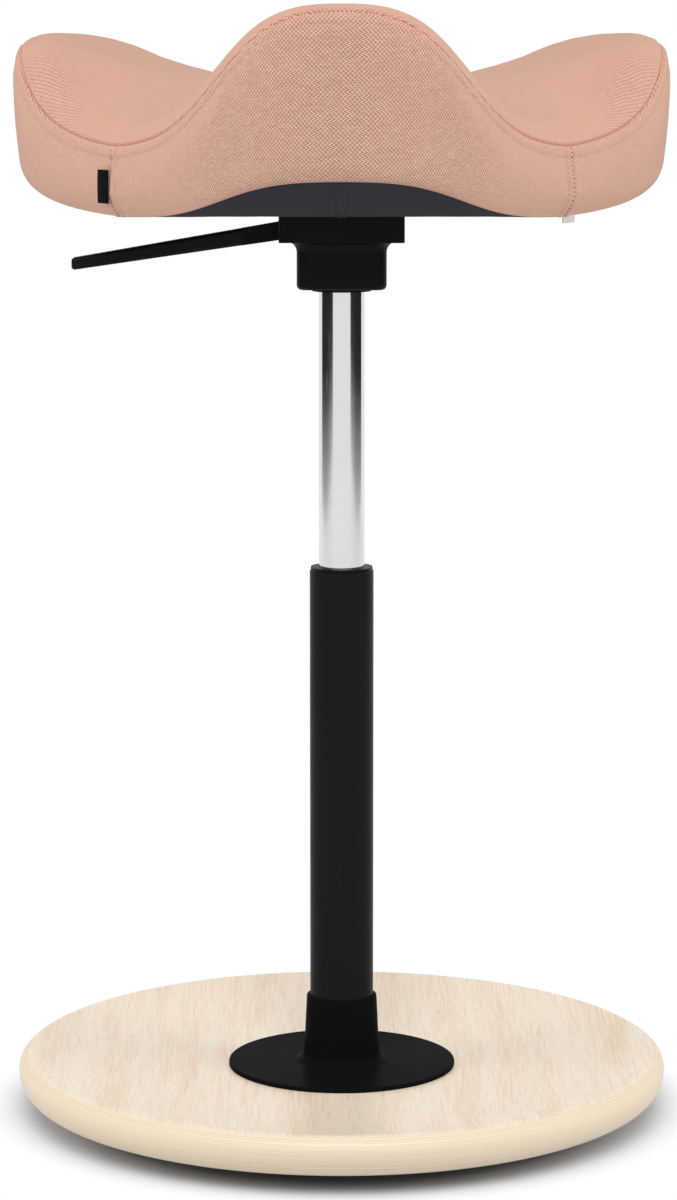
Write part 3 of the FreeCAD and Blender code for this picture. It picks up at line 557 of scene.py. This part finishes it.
def seatKnots(azimuth):
    # the half section's knots as (radius, height) at each azimuth a; share is 1 on a lobe's ridge, 0 in a waist:
    # (1 - f)^0.68 / (1 + 5.16 f^1.72) with f = sin(1.5 a)^2; the seam's radius is 180.7 + 32.4 cos 3a + 4.3 cos 6a
    s = seatSet
    fall = np.sin(1.5 * azimuth) ** 2
    share = np.maximum(1 - fall, 0) ** s["fullness"] / (1 + s["sharpness"] * fall ** s["narrowing"])
    seamR = s["seamRadius"] + s["seamSwing"] * np.cos(3 * azimuth) + s["seamPeak"] * np.cos(6 * azimuth)
    rise = np.where(np.abs(azimuth) < math.pi / 3, s["frontRise"], s["rearRise"])
    seamZ = s["plane"] + s["waistSeam"] + rise * share
    bulge = between(s["bulge"], share)
    drop = s["bellyDrop"][0] + (s["bellyDrop"][1] - s["bellyDrop"][0]) * share
    bellyR, bellyZ = seamR + bulge, seamZ - drop
    footR, footZ = bellyR - s["footWidth"], s["plane"] + s["edgeLift"] + s["lobeLift"] * share
    liftZ = footZ + s["footHeight"]
    crestR, crestZ = seamR - s["seamToCrest"], seamZ + between(s["crestRise"], share)
    centreZ = s["plane"] + s["centreHeight"]
    flat = s["centreFlat"] + 0 * azimuth
    return {
        "flat": (s["flatRadius"] + 0 * azimuth, s["plane"] + 0 * azimuth),
        "under": ((s["flatRadius"] + footR) / 2, s["plane"] + s["underBow"] * (footZ - s["plane"])),
        "foot": (footR, footZ),
        "corner": (bellyR - s["footWidth"] * s["cornerIn"], footZ + s["footHeight"] * s["cornerUp"]),
        "lift": (bellyR - s["footInset"], liftZ),
        "flank": (bellyR - s["footInset"] * s["flankInset"], (liftZ + bellyZ) / 2),
        "belly": (bellyR, bellyZ),
        "shoulder": (seamR + bulge * s["shoulderOut"], seamZ - drop * s["shoulderDown"]),
        "seam": (seamR, seamZ),
        "round": (seamR - s["seamToRound"], seamZ + between(s["roundRise"], share)),
        "crest": (crestR, crestZ),
        "slope": (flat + s["slopeReach"] * (crestR - flat), centreZ + s["slopeRise"] * (crestZ - centreZ)),
        "centre": (flat, centreZ + 0 * azimuth),
    }


def circleArc(first, middle, last):
    # the circle through three points, per azimuth: its centre, radius, starting angle, turn and length
    (ax, ay), (bx, by), (cx, cy) = first, middle, last
    twice = 2 * (ax * (by - cy) + bx * (cy - ay) + cx * (ay - by))
    twice = np.where(np.abs(twice) < 1e-6, 1e-6, twice)
    a, b, c = ax * ax + ay * ay, bx * bx + by * by, cx * cx + cy * cy
    mx = (a * (by - cy) + b * (cy - ay) + c * (ay - by)) / twice
    my = (a * (cx - bx) + b * (ax - cx) + c * (bx - ax)) / twice
    radius = np.hypot(ax - mx, ay - my)
    start = np.arctan2(ay - my, ax - mx)
    turn = (np.arctan2(cy - my, cx - mx) - start + math.pi) % math.tau - math.pi
    return mx, my, radius, start, turn, radius * np.abs(turn)


def alongArcs(arcs, distance):
    # radius and height at a distance along arcs laid end to end; distance is rows by azimuths
    radius, height, begun = 0 * distance, 0 * distance, 0.0
    for mx, my, size, start, turn, length in arcs:
        share = np.clip((distance - begun) / length, 0, 1)
        here = distance >= begun - 1e-9
        radius = np.where(here, mx + size * np.cos(start + turn * share), radius)
        height = np.where(here, my + size * np.sin(start + turn * share), height)
        begun = begun + length
    return radius, height


def softened(place, distance, reach):
    # the mean of five places along a section, which rounds off the slight angles where its arcs meet
    found = [place(distance + reach * step) for step in (-1, -0.5, 0, 0.5, 1)]
    return sum(r for r, _ in found) / 5, sum(z for _, z in found) / 5


def topSection(azimuth, fromSeam):
    # the top from its flat middle out to the seam; fromSeam is the way left to the seam, rows by azimuths
    k = seatKnots(azimuth)
    arcs = [circleArc(k["centre"], k["slope"], k["crest"]), circleArc(k["crest"], k["round"], k["seam"])]
    whole = arcs[0][5] + arcs[1][5]
    flat = seatSet["centreFlat"]

    def place(left):
        radius, height = alongArcs(arcs, np.maximum(whole - left, 0.0))
        inside = whole < left
        return np.where(inside, flat + whole - left, radius), np.where(inside, k["centre"][1], height)

    radius, height = softened(place, fromSeam, np.clip(fromSeam, 0, seatSet["topSoftening"]))
    return radius, height, whole + flat


def bandSection(azimuth, fromSeam):
    # the band from the seam down over the belly to its lower edge
    k = seatKnots(azimuth)
    arcs = [circleArc(k["seam"], k["shoulder"], k["belly"]), circleArc(k["belly"], k["flank"], k["lift"]),
            circleArc(k["lift"], k["corner"], k["foot"])]
    whole = sum(arc[5] for arc in arcs)
    reach = np.clip(np.minimum(fromSeam, whole - fromSeam), 0, seatSet["bandSoftening"])
    radius, height = softened(lambda gone: alongArcs(arcs, gone), fromSeam, reach)
    return radius, height, whole


def around(radius, height, azimuth):
    return np.stack([radius * np.sin(azimuth), -radius * np.cos(azimuth), height + 0 * azimuth], axis=-1)


def gridNormals(points):
    # cross product of the steps along the rows and round the columns, which wrap
    down = np.gradient(points, axis=0)
    turn = np.roll(points, -1, axis=1) - np.roll(points, 1, axis=1)
    normal = np.cross(down, turn)
    return normal / np.maximum(np.linalg.norm(normal, axis=-1, keepdims=True), 1e-12)


def gridFaces(rows, columns):
    # quads of a grid whose columns wrap, wound so that top rows first gives outward faces
    i, j = np.meshgrid(np.arange(rows - 1), np.arange(columns), indexing="ij")
    a, b = i * columns + j, i * columns + (j + 1) % columns
    return np.stack([a, a + columns, b + columns, b], axis=-1).reshape(-1, 4)


def poleFaces(pole, ring, outward):
    # a fan from a pole to the ring of vertex numbers around it
    after = np.roll(ring, -1)
    centre = np.full_like(ring, pole)
    return np.stack([centre, ring, after] if outward else [centre, after, ring], axis=-1)


def makePiece(name, points, faces, material):
    # a smooth mesh from points in millimetres
    item = addMesh(name, (points * 0.001).tolist(), [f.tolist() for part in faces for f in part], material)
    item.data.shade_smooth()
    return item


def closedShell(points):
    # a grid from pole to pole as vertices and faces, both poles closed
    rows, columns = points.shape[:2]
    flat = points.reshape(-1, 3)
    top = points[0].mean(axis=0) * (0, 0, 1)
    bottom = points[-1].mean(axis=0) * (0, 0, 1)
    vertices = np.concatenate([flat, [top, bottom]])
    ring = np.arange(columns)
    faces = [gridFaces(rows, columns), poleFaces(len(flat), ring, True),
             poleFaces(len(flat) + 1, ring + (rows - 1) * columns, False)]
    return vertices, faces


thirdTurn = math.tau / 3


def threefold(near, step, starts):
    # azimuths close together beside three seams and even between them; near is in degrees from a seam
    middle = np.linspace(near[-1], 60.0, round((60.0 - near[-1]) / step) + 1)
    half = np.concatenate([near[:-1], middle])
    third = np.concatenate([half, 120.0 - half[-2:0:-1]])
    return np.radians(np.concatenate([third + start for start in starts]))


# seat pad: top cover and bands over foam, one closed form
padSet = {
    "columnStep": 1.25, "topRows": 40, "bandRows": 12,
    "seamSteps": [0, 0.45, 0.9, 1.4, 2.1, 3.2, 4.6, 5.8, 6.4, 6.9, 7.4, 8.0, 9.2, 11.5, 14.5],
    "columnSteps": [0, 0.5, 1.0, 1.6, 2.4, 3.6, 5.0, 6.2, 6.9, 7.5, 8.6, 10.5],
    "footSteps": [5.0, 3.8, 2.7, 1.7, 0.8, 0.0],
    "grooveDepth": 1.7, "grooveWidth": 1.0, "beadHeight": 0.3, "beadAway": 3.6, "beadWidth": 2.2,
    "puckerDepth": 0.26, "puckerPitch": 9.0, "puckerDrift": 1.3, "driftLength": 31.0, "secondShare": 0.6,
    "secondPitch": 5.7, "secondStart": 2.0, "puckerReach": 6.0, "puckerRoot": 1.2,
    "allowance": 7.0, "allowanceStep": 0.7, "allowanceEdge": 0.35, "allowanceRoot": 1.0,
    "waistGroove": 0.8, "waistAllowance": 0.6, "waistFade": 3.0, "footFade": 2.0,
    "fill": 0.75,
}


def seamPlace(azimuth):
    # signed way round to the nearest waist seam, in millimetres at the waist's radius
    return seatSet["waistRadius"] * ((azimuth + thirdTurn) % thirdTurn - thirdTurn / 2)


def groove(away):
    # a narrow valley at the seam with a soft bead at each side
    p = padSet
    bead = p["beadHeight"] * np.exp(-((np.abs(away) - p["beadAway"]) / p["beadWidth"]) ** 2)
    return bead - p["grooveDepth"] * np.exp(-(away / p["grooveWidth"]) ** 2)


def pucker(along, away):
    # small gathers beside a seam, two waves of different length that die out away from it
    p = padSet
    drift = p["puckerDrift"] * np.sin(along / p["driftLength"])
    wave = np.sin(math.tau * along / p["puckerPitch"] + drift)
    wave = wave + p["secondShare"] * np.sin(math.tau * along / p["secondPitch"] + p["secondStart"])
    fade = np.exp(-np.abs(away) / p["puckerReach"]) * (1 - np.exp(-(away / p["puckerRoot"]) ** 2))
    return p["puckerDepth"] * wave * fade


def allowanceStep(away):
    # the seam allowance folded behind the cloth lifts it out to a faint step
    p = padSet
    step = p["allowanceStep"] / (1 + np.exp((np.abs(away) - p["allowance"]) / p["allowanceEdge"]))
    return step * (1 - np.exp(-(away / p["allowanceRoot"]) ** 2))


def sectionLengths(azimuth):
    zero = np.zeros((1, len(azimuth)))
    return topSection(azimuth, zero)[2], bandSection(azimuth, zero)[2]


def padSkin(azimuth, topLeft, bandGone):
    # the smooth form's rows from the middle out to the seam and down the band
    sections = topSection(azimuth, topLeft), bandSection(azimuth, bandGone)
    return np.concatenate([around(radius, height, azimuth) for radius, height, _ in sections])


# the cloth's swell: a short simulation on a coarse copy of the skin, then how it is laid over the fine one
swellSet = {
    "columns": 168, "topRows": 30, "bandRows": 13, "frames": 20,
    "middleHeld": 55.0, "middleFade": 25.0, "cap": 1.4, "drawIn": 0.5,
    "cloth": {"quality": 6, "mass": 0.3, "tension_stiffness": 12, "compression_stiffness": 12, "shear_stiffness": 6,
              "bending_stiffness": 2, "use_pressure": True, "uniform_pressure_force": 4.0},
}


def underPressure(start, held):
    # where the skin's points go under slight pressure; held is 1 at points that stay
    vertices, faces = closedShell(start)
    pad = makePiece("padSimulation", vertices, faces, bpy.data.materials.new("simulationOnly"))
    group = pad.vertex_groups.new(name="held")
    for number, weight in enumerate(np.round(np.append(held, [1.0, 1.0]), 2)):
        group.add([number], float(weight), "REPLACE")
    cloth = pad.modifiers.new("Cloth", "CLOTH")
    assign(cloth.settings, swellSet["cloth"])
    cloth.settings.vertex_group_mass = "held"
    cloth.settings.effector_weights.gravity = 0
    cloth.collision_settings.use_collision = False
    cloth.point_cache.frame_start, cloth.point_cache.frame_end = 1, swellSet["frames"]
    for number in range(1, swellSet["frames"] + 1):
        scene.frame_set(number)
    grown = pad.evaluated_get(bpy.context.evaluated_depsgraph_get()).to_mesh()
    moved = np.empty(len(grown.vertices) * 3)
    grown.vertices.foreach_get("co", moved)
    scene.frame_set(1)
    bpy.data.objects.remove(pad)
    return moved.reshape(-1, 3)[:-2].reshape(start.shape) * 1000


def simulatedSwell():
    # offsets along the coarse skin's normals, capped and less an even draw-in; the cloth is held along its
    # seams and in the middle; rows stand at even shares of the top's way and then of the band's, and
    # columns are even, from -180 degrees
    s = swellSet
    azimuth = np.radians(np.linspace(-180, 180, s["columns"] + 1)[:-1])
    topLength, bandLength = sectionLengths(azimuth)
    topShare, bandShare = (np.linspace(0, 1, s[key] + 1)[1:, None] for key in ("topRows", "bandRows"))
    start = padSkin(azimuth, (1 - topShare) * topLength, bandShare * bandLength)
    held = np.zeros(start.shape[:2])
    held[[s["topRows"] - 1, -1]] = 1
    held[s["topRows"]:, np.argsort(np.abs(seamPlace(azimuth)))[:3]] = 1
    fromAxis = np.linalg.norm(start[:, :, :2], axis=-1)
    held = np.maximum(held, np.clip((s["middleHeld"] - fromAxis) / s["middleFade"], 0, 1))
    normals = gridNormals(start)
    size = ((underPressure(start, held) - start) * normals).sum(axis=-1)
    print("pad swell before the cap, mm: mean", round(float(size.mean()), 2), "most", round(float(size.max()), 2))
    size = s["cap"] * np.tanh(size / s["cap"]) - s["drawIn"] * (1 - held)
    return normals * size[..., None]


def spread(values, share, azimuth):
    # bilinear look-up in even rows and columns; share is rows by columns, columns wrap at a full turn
    count = values.shape[1]
    row, column = share * (len(values) - 1), (azimuth + math.pi) / math.tau * count
    i = np.clip(np.floor(row).astype(int), 0, len(values) - 2)
    j = np.floor(column).astype(int) % count
    down, turn = (row - i)[..., None], (column - np.floor(column))[:, None]
    near, after = (values[i, c] * (1 - down) + values[i + 1, c] * down for c in (j, (j + 1) % count))
    return near * (1 - turn) + after * turn


def swollen(skin, azimuth, topShare, bandShare):
    swell, edge = simulatedSwell(), swellSet["topRows"]
    top = spread(np.concatenate([swell[:1], swell[:edge]]), topShare, azimuth)
    return skin + np.concatenate([top, spread(swell[edge - 1:], bandShare, azimuth)])


def padRows(topLength, bandLength):
    # ways from the seam at which the rows stand, close together at the seam and at the lower edge
    steps, feet = np.array(padSet["seamSteps"]), np.array(padSet["footSteps"])
    top, band = (np.linspace(0, 1, padSet[key] + 1)[1:-1, None] for key in ("topRows", "bandRows"))
    topLeft = [topLength - top * (topLength - steps[-1]), steps[::-1, None] + 0 * topLength]
    room = bandLength - steps[-1] - feet[0]
    bandGone = [steps[1:, None] + 0 * bandLength, steps[-1] + band * room, bandLength - feet[:, None]]
    return np.concatenate(topLeft), np.concatenate(bandGone)


def seamRelief(azimuth, topLeft, bandGone, bandLength, alongSeam):
    # the long seam between top and bands, and the three upright ones on the bands
    p = padSet
    away = np.concatenate([topLeft, bandGone])
    onBand = (np.arange(len(away)) >= len(topLeft))[:, None]
    relief = groove(away) + pucker(alongSeam[:-1], away) + onBand * allowanceStep(away)
    side = seamPlace(azimuth) + 0 * away
    upright = groove(side) * p["waistGroove"] + pucker(away, side) + allowanceStep(side) * p["waistAllowance"]
    relief = relief + onBand * upright * np.minimum(1, away / p["waistFade"])
    return relief * np.where(onBand, np.clip((bandLength - away) / p["footFade"], 0, 1), 1)


def padHem(azimuth):
    # underneath: a turned hem, then in over the seat shell; each row is a radius and a height
    k = seatKnots(azimuth)
    (footR, footZ), (underR, underZ), (flatR, flatZ) = k["foot"], k["under"], k["flat"]
    slope = (footZ - underZ) / (footR - underR)
    edgeR = footR - seatSet["shellMargin"]
    edgeZ = footZ - seatSet["shellMargin"] * slope
    rise = seatSet["shellHigh"]
    hem = [(footR + 0.15, footZ + 0.15), (footR + 0.12, footZ + 0.9), (footR - 0.4, footZ + 1.7),
           (footR - 3.0, footZ + 2.2 - 2.6 * slope), (edgeR, edgeZ + seatSet["shellLow"] + 0.5),
           (edgeR, edgeZ + rise)]
    arc = circleArc((edgeR, edgeZ + rise), (underR, underZ + rise), (flatR, flatZ + rise))
    for share in (0.2, 0.4, 0.6, 0.8, 1.0):
        radius, height = alongArcs([arc], (share * arc[5])[None, :])
        hem.append((radius[0], height[0]))
    hem += [(0.5 * flatR, flatZ + rise), (0.1 * flatR, flatZ + rise)]
    return np.stack([around(radius, height, azimuth) for radius, height in hem])


def makePad(material):
    azimuth = threefold(np.degrees(np.array(padSet["columnSteps"]) / seatSet["waistRadius"]), padSet["columnStep"],
                        (-180.0, -60.0, 60.0))
    topLength, bandLength = sectionLengths(azimuth)
    topLeft, bandGone = padRows(topLength, bandLength)
    skin = padSkin(azimuth, topLeft, bandGone)
    skin = swollen(skin, azimuth, 1 - topLeft / topLength, bandGone / bandLength)
    seamRow = len(topLeft) - 1
    lengths = np.linalg.norm(np.roll(skin[seamRow], -1, axis=0) - skin[seamRow], axis=-1)
    alongSeam = np.concatenate([[0], np.cumsum(lengths)])
    relief = seamRelief(azimuth, topLeft, bandGone, bandLength, alongSeam)
    outer = skin + gridNormals(skin) * relief[..., None]
    points = np.concatenate([outer, padHem(azimuth)])
    vertices, faces = closedShell(points)
    pad = makePiece("seatPad", vertices, faces, material)
    addPadMap(pad, azimuth, topLength - topLeft, np.concatenate([topLeft, bandGone]), alongSeam, points.shape[:2])
    return pad, outer, seamRow, azimuth


def addPadMap(pad, azimuth, fromMiddle, fromSeam, alongSeam, shape):
    # cloth map in metres: the top is laid out flat, its distance from the middle kept; each band unrolls along its
    # seam and runs down by the way from the seam, shifted so that rows stay level; each panel has its own start
    rows, columns = shape
    wrapped = np.append(azimuth, azimuth[0] + math.tau)
    reach = np.concatenate([fromMiddle, np.zeros((rows - len(fromMiddle), columns))])
    reach = np.concatenate([reach, reach[:, :1]], axis=1)
    topMap = np.stack([reach * np.sin(wrapped), -reach * np.cos(wrapped)], axis=-1)
    down = np.concatenate([fromSeam, np.repeat(fromSeam[-1:], rows - len(fromSeam), axis=0)])
    down = np.concatenate([down, down[:, :1]], axis=1)
    seamZ = seatKnots(wrapped)["seam"][1]
    bandMap = np.stack([alongSeam + 0 * down, seamZ - down], axis=-1)
    i, j = np.meshgrid(np.arange(rows - 1), np.arange(columns), indexing="ij")
    corners = [(i, j), (i + 1, j), (i + 1, j + 1), (i, j + 1)]
    isTop = (i < len(fromMiddle) - 1)[..., None]
    panel = np.floor((azimuth[j] + math.pi + 1e-6) / thirdTurn)[..., None]
    values = [np.where(isTop, topMap[r, c], bandMap[r, c] + panel * (0.37, 0.71)) for r, c in corners]
    quads = np.stack(values, axis=2).reshape(-1, 2)
    topFan = np.stack([topMap[0, :-1] * 0, topMap[0, :-1], topMap[0, 1:]], axis=1).reshape(-1, 2)
    found = np.concatenate([quads, topFan, np.zeros_like(topFan)]) * 0.001
    pad.data.uv_layers.new(name="knitMap").data.foreach_set("uv", found.astype(np.float32).ravel())


peachKnit = knitMaterial("peachKnit", knitSet, "knitMap")
charcoalKnit = knitMaterial("charcoalKnit", underSet, "clothMap")
seatPad, padOuter, padSeamRow, padAzimuth = makePad(peachKnit)
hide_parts("seat_foam", "seat_top_cover", "seat_band_front", "seat_band_right", "seat_band_left")
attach(seatPad, "seat")
print("seat pad made,", len(seatPad.data.polygons), "faces")

# stitches in the seams; each is drawn through five rings, whose sizes and arch are shares of the radius
stitchSet = {
    "pitch": 3.1, "length": 2.3, "radius": 0.22, "sink": 0.08, "zigzag": 0.35, "colour": (176, 124, 100),
    "places": (-1.0, -0.82, 0.0, 0.82, 1.0), "sizes": (0.35, 0.8, 1.0, 0.8, 0.35),
    "arch": (-0.5, -0.2, 0.1, -0.2, -0.5), "clearTop": 5, "clearFoot": 3,
}


def unit(vectors):
    return vectors / np.linalg.norm(vectors, axis=-1, keepdims=True)


def lookUp(at, run, values):
    return np.stack([np.interp(at, run, values[:, axis]) for axis in range(3)], axis=-1)


def stitchRow(line, normals, zigzag):
    # capsules laid end to end along a line of points, with rings of six points
    run = np.concatenate([[0], np.cumsum(np.linalg.norm(np.diff(line, axis=0), axis=-1))])
    count = int(run[-1] // stitchSet["pitch"])
    at = (np.arange(count) + 0.5) * run[-1] / count
    centre = lookUp(at, run, line)
    tangent = unit(lookUp(at + 0.5, run, line) - lookUp(at - 0.5, run, line))
    side = unit(np.cross(lookUp(at, run, normals), tangent))
    out = np.cross(tangent, side)
    sign = np.where(np.arange(count) % 2 == 0, 1.0, -1.0)[:, None]
    tangent = unit(tangent + side * sign * zigzag)
    side = np.cross(out, tangent)
    half, radius = stitchSet["length"] / 2, stitchSet["radius"]
    places, sizes, arch = (np.array(stitchSet[key]) for key in ("places", "sizes", "arch"))
    turn = np.arange(6) * math.pi / 3
    ring = np.cos(turn)[:, None] * out[:, None] + np.sin(turn)[:, None] * side[:, None]
    points = centre[:, None, None] + tangent[:, None, None] * (places * half)[:, None, None]
    points = points + out[:, None, None] * (arch * radius)[:, None, None]
    points = points + ring[:, None] * (sizes * radius)[:, None, None]
    return points.reshape(-1, 3), count


def makeStitches(name, runs, material):
    # thirty points a stitch: four bands of quads and two end caps
    found, counts = zip(*(stitchRow(*run) for run in runs))
    total = sum(counts)
    shift = (np.arange(total) * 30)[:, None, None]
    caps = np.array([[0, 1, 2, 3, 4, 5], [29, 28, 27, 26, 25, 24]])
    faces = [(gridFaces(5, 6) + shift).reshape(-1, 4), (caps + shift).reshape(-1, 6)]
    item = makePiece(name, np.concatenate(found), faces, material)
    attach(item, "seat")
    print(name, total, "stitches")


def seamRuns():
    # lines of points with their normals: the long seam closed, and the three uprights
    normals = gridNormals(padOuter)
    sunk = padOuter + normals * stitchSet["sink"]
    edge = [np.concatenate([part[padSeamRow], part[padSeamRow, :1]]) for part in (sunk, normals)]
    rows = slice(padSeamRow + stitchSet["clearTop"], len(padOuter) - stitchSet["clearFoot"])
    columns = np.argsort(np.abs(seamPlace(padAzimuth)))[:3]
    uprights = [(sunk[rows, column], normals[rows, column], stitchSet["zigzag"]) for column in columns]
    return [(*edge, 0.0)], uprights


seamThread = threadMaterial("seamThread", stitchSet["colour"])
edgeRun, waistRuns = seamRuns()
makeStitches("edgeSeamStitches", edgeRun, seamThread)
makeStitches("waistSeamStitches", waistRuns, seamThread)

# underside cover: charcoal cloth stretched under the seat shell, with a felled seam up each lobe
underCoverSet = {
    "columnStep": 1.5, "columnSteps": [0, 0.3, 0.6, 0.9, 1.2, 1.5, 1.8, 2.2, 2.7, 3.4], "rows": 40, "flatRows": 8,
    "thickness": 1.1, "seamWidthIn": 1.9, "seamWidthOut": 3.5, "seamHeight": 0.8, "seamEdge": 0.22,
    "ridge": 0.9, "ridgeAway": 0.78, "ridgeWidth": 0.14, "seamFrom": 74.0, "seamFull": 104.0,
    "ripple": 0.12, "rippleCount": 23, "rippleLength": 17.0, "driftShare": 0.7, "driftLength": 14,
    "footFade": 1.5, "footLeast": 0.4,
}


def makeUnderCover(material):
    u = underCoverSet
    azimuth = threefold(np.array(u["columnSteps"]), u["columnStep"], (-120.0, 0.0, 120.0))
    k = seatKnots(azimuth)
    (flatR, flatZ), footR = k["flat"], k["foot"][0]
    arc = circleArc(k["flat"], k["under"], k["foot"])
    radius, height = alongArcs([arc], np.linspace(0, 1, u["rows"] + 1)[:, None] * arc[5])
    flatShare = np.linspace(0, 1, u["flatRows"] + 1)[1:-1, None]
    radius = np.concatenate([flatShare * flatR, radius])
    height = np.concatenate([0 * flatShare + flatZ, height])
    lower = around(radius, height, azimuth)
    # felled seam: a flat raised strip with a ridge along each side, wider towards the rim
    off = np.abs((azimuth + thirdTurn / 2) % thirdTurn - thirdTurn / 2) * radius
    reach = np.clip((radius - u["seamFrom"]) / (footR - u["seamFrom"]), 0, 1)
    width = u["seamWidthIn"] + (u["seamWidthOut"] - u["seamWidthIn"]) * reach
    grown = np.clip((radius - u["seamFrom"]) / (u["seamFull"] - u["seamFrom"]), 0, 1)
    strip = u["seamHeight"] / (1 + np.exp((off - width) / u["seamEdge"]))
    ridge = u["ridge"] * np.exp(-((off - u["ridgeAway"] * width) / (u["ridgeWidth"] * width)) ** 2)
    ripple = np.sin(azimuth * u["rippleCount"] + u["driftShare"] * np.sin(radius / u["driftLength"]))
    ripple = u["ripple"] * ripple * np.sin(radius / u["rippleLength"]) * grown
    down = ((strip + ridge) * grown + ripple) * np.clip((footR - radius) / u["footFade"], u["footLeast"], 1)
    # with rows from the middle out the grid's normal points up, so down is along its reverse
    lower = lower - gridNormals(lower) * down[..., None]
    upper = around(radius, height + u["thickness"], azimuth)
    vertices, faces = closedShell(np.concatenate([upper, lower[::-1]]))
    cover = makePiece("seatUnderCover", vertices, faces, material)
    clothMap = cover.data.uv_layers.new(name="clothMap")
    place = np.empty(len(cover.data.loops), np.int32)
    cover.data.loops.foreach_get("vertex_index", place)
    clothMap.data.foreach_set("uv", (vertices[place][:, :2] * 0.001).astype(np.float32).ravel())
    patches = np.cross(np.gradient(lower, axis=0), np.roll(lower, -1, axis=1) - lower)
    return cover, float(np.linalg.norm(patches, axis=-1).sum()) * 1e-6


seatUnderCover, underArea = makeUnderCover(charcoalKnit)
print("underside cover area", round(underArea, 4), "m2")
min(underArea, 0.16)
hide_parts("seat_underside_cover")
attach(seatUnderCover, "seat")
print("underside cover made")

# labels, both left blank; turnRadius is about the band's radius, for the angle that a width takes up
labelSet = {
    "tagWidth": 13.0, "tagHeight": 19.5, "tagBottom": 564.0, "tagThickness": 0.7, "tagGap": 0.5,
    "tagAzimuth": -59.4, "tagCurl": 0.35,
    "tabWidth": 15.0, "tabDrop": 2.8, "tabTuck": 7.5, "tabThickness": 0.6, "tabOut": 0.6, "tabGap": 0.9,
    "tabAzimuth": 60.0, "tabCurl": 0.2, "turnRadius": 153.0, "bow": 0.25, "footCurl": 0.3, "across": 15, "down": 19,
}


def ribbon(name, start, end, low, high, thickness, curl, material):
    # a strip of ribbon between two upright edges, front and back, that bows out in the middle and turns over at
    # its foot; u runs across and v down
    s = labelSet
    width = np.linalg.norm(end - start)
    along = (end - start) / width
    out = np.array([along[1], -along[0], 0.0])
    out = out * math.copysign(1, np.dot(out[:2], (start + end)[:2]))
    u, v = np.linspace(0, 1, s["across"])[:, None], np.linspace(0, 1, s["down"])[None, :]
    bow = curl * np.sin(math.pi * u) + s["bow"] * np.sin(math.pi * v) + s["footCurl"] * v ** 2 * curl
    grid = np.stack([start + u[..., None] * width * along + (bow + more)[..., None] * out
                     for more in (thickness, 0.0)])
    grid[..., 2] = high + (low - high) * v
    front, back = np.arange(grid.size // 3).reshape(grid.shape[:3])
    # quads between neighbouring lines of points: front, back and the four edges; their normals are set right after
    lines = [*zip(front, front[1:]), *zip(back, back[1:]), (front[:, 0], back[:, 0]), (back[:, -1], front[:, -1]),
             (back[0], front[0]), (front[-1], back[-1])]
    quads = [np.stack([first[:-1], first[1:], second[1:], second[:-1]], axis=-1) for first, second in lines]
    item = makePiece(name, grid.reshape(-1, 3), quads, material)
    work = bmesh.new()
    work.from_mesh(item.data)
    bmesh.ops.recalc_face_normals(work, faces=work.faces)
    work.to_mesh(item.data)
    work.free()
    return item


def labelLine(knot, azimuth, width, outset):
    # the chord between two places at one height of the band, one label's width apart; azimuth is in degrees
    first = math.radians(azimuth)
    places = np.array([first, first + math.copysign(width / labelSet["turnRadius"], azimuth)])
    radius, height = seatKnots(places)[knot]
    start, end = around(radius + outset, height, places)
    return start, start + (end - start) * (1, 1, 0) * width / np.linalg.norm((end - start)[:2])


def makeLabels():
    s = labelSet
    black = wovenLabel("blackRibbon", (10, 10, 10), (22, 21, 21))
    pale = wovenLabel("paleRibbon", (206, 200, 190), (232, 228, 220))
    start, end = labelLine("belly", s["tagAzimuth"], s["tagWidth"], s["tagGap"])
    tag = ribbon("sideTag", start, end, s["tagBottom"], s["tagBottom"] + s["tagHeight"], s["tagThickness"],
                 s["tagCurl"], black)
    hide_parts("seat_side_tag")
    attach(tag, "seat")
    start, end = labelLine("foot", s["tabAzimuth"], s["tabWidth"], s["tabOut"])
    high = start[2] - s["tabGap"]
    tab = ribbon("careTab", start, end, high - s["tabDrop"], high + s["tabTuck"], s["tabThickness"],
                 s["tabCurl"], pale)
    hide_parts("seat_care_tab")
    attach(tab, "seat")


makeLabels()
print("labels made")
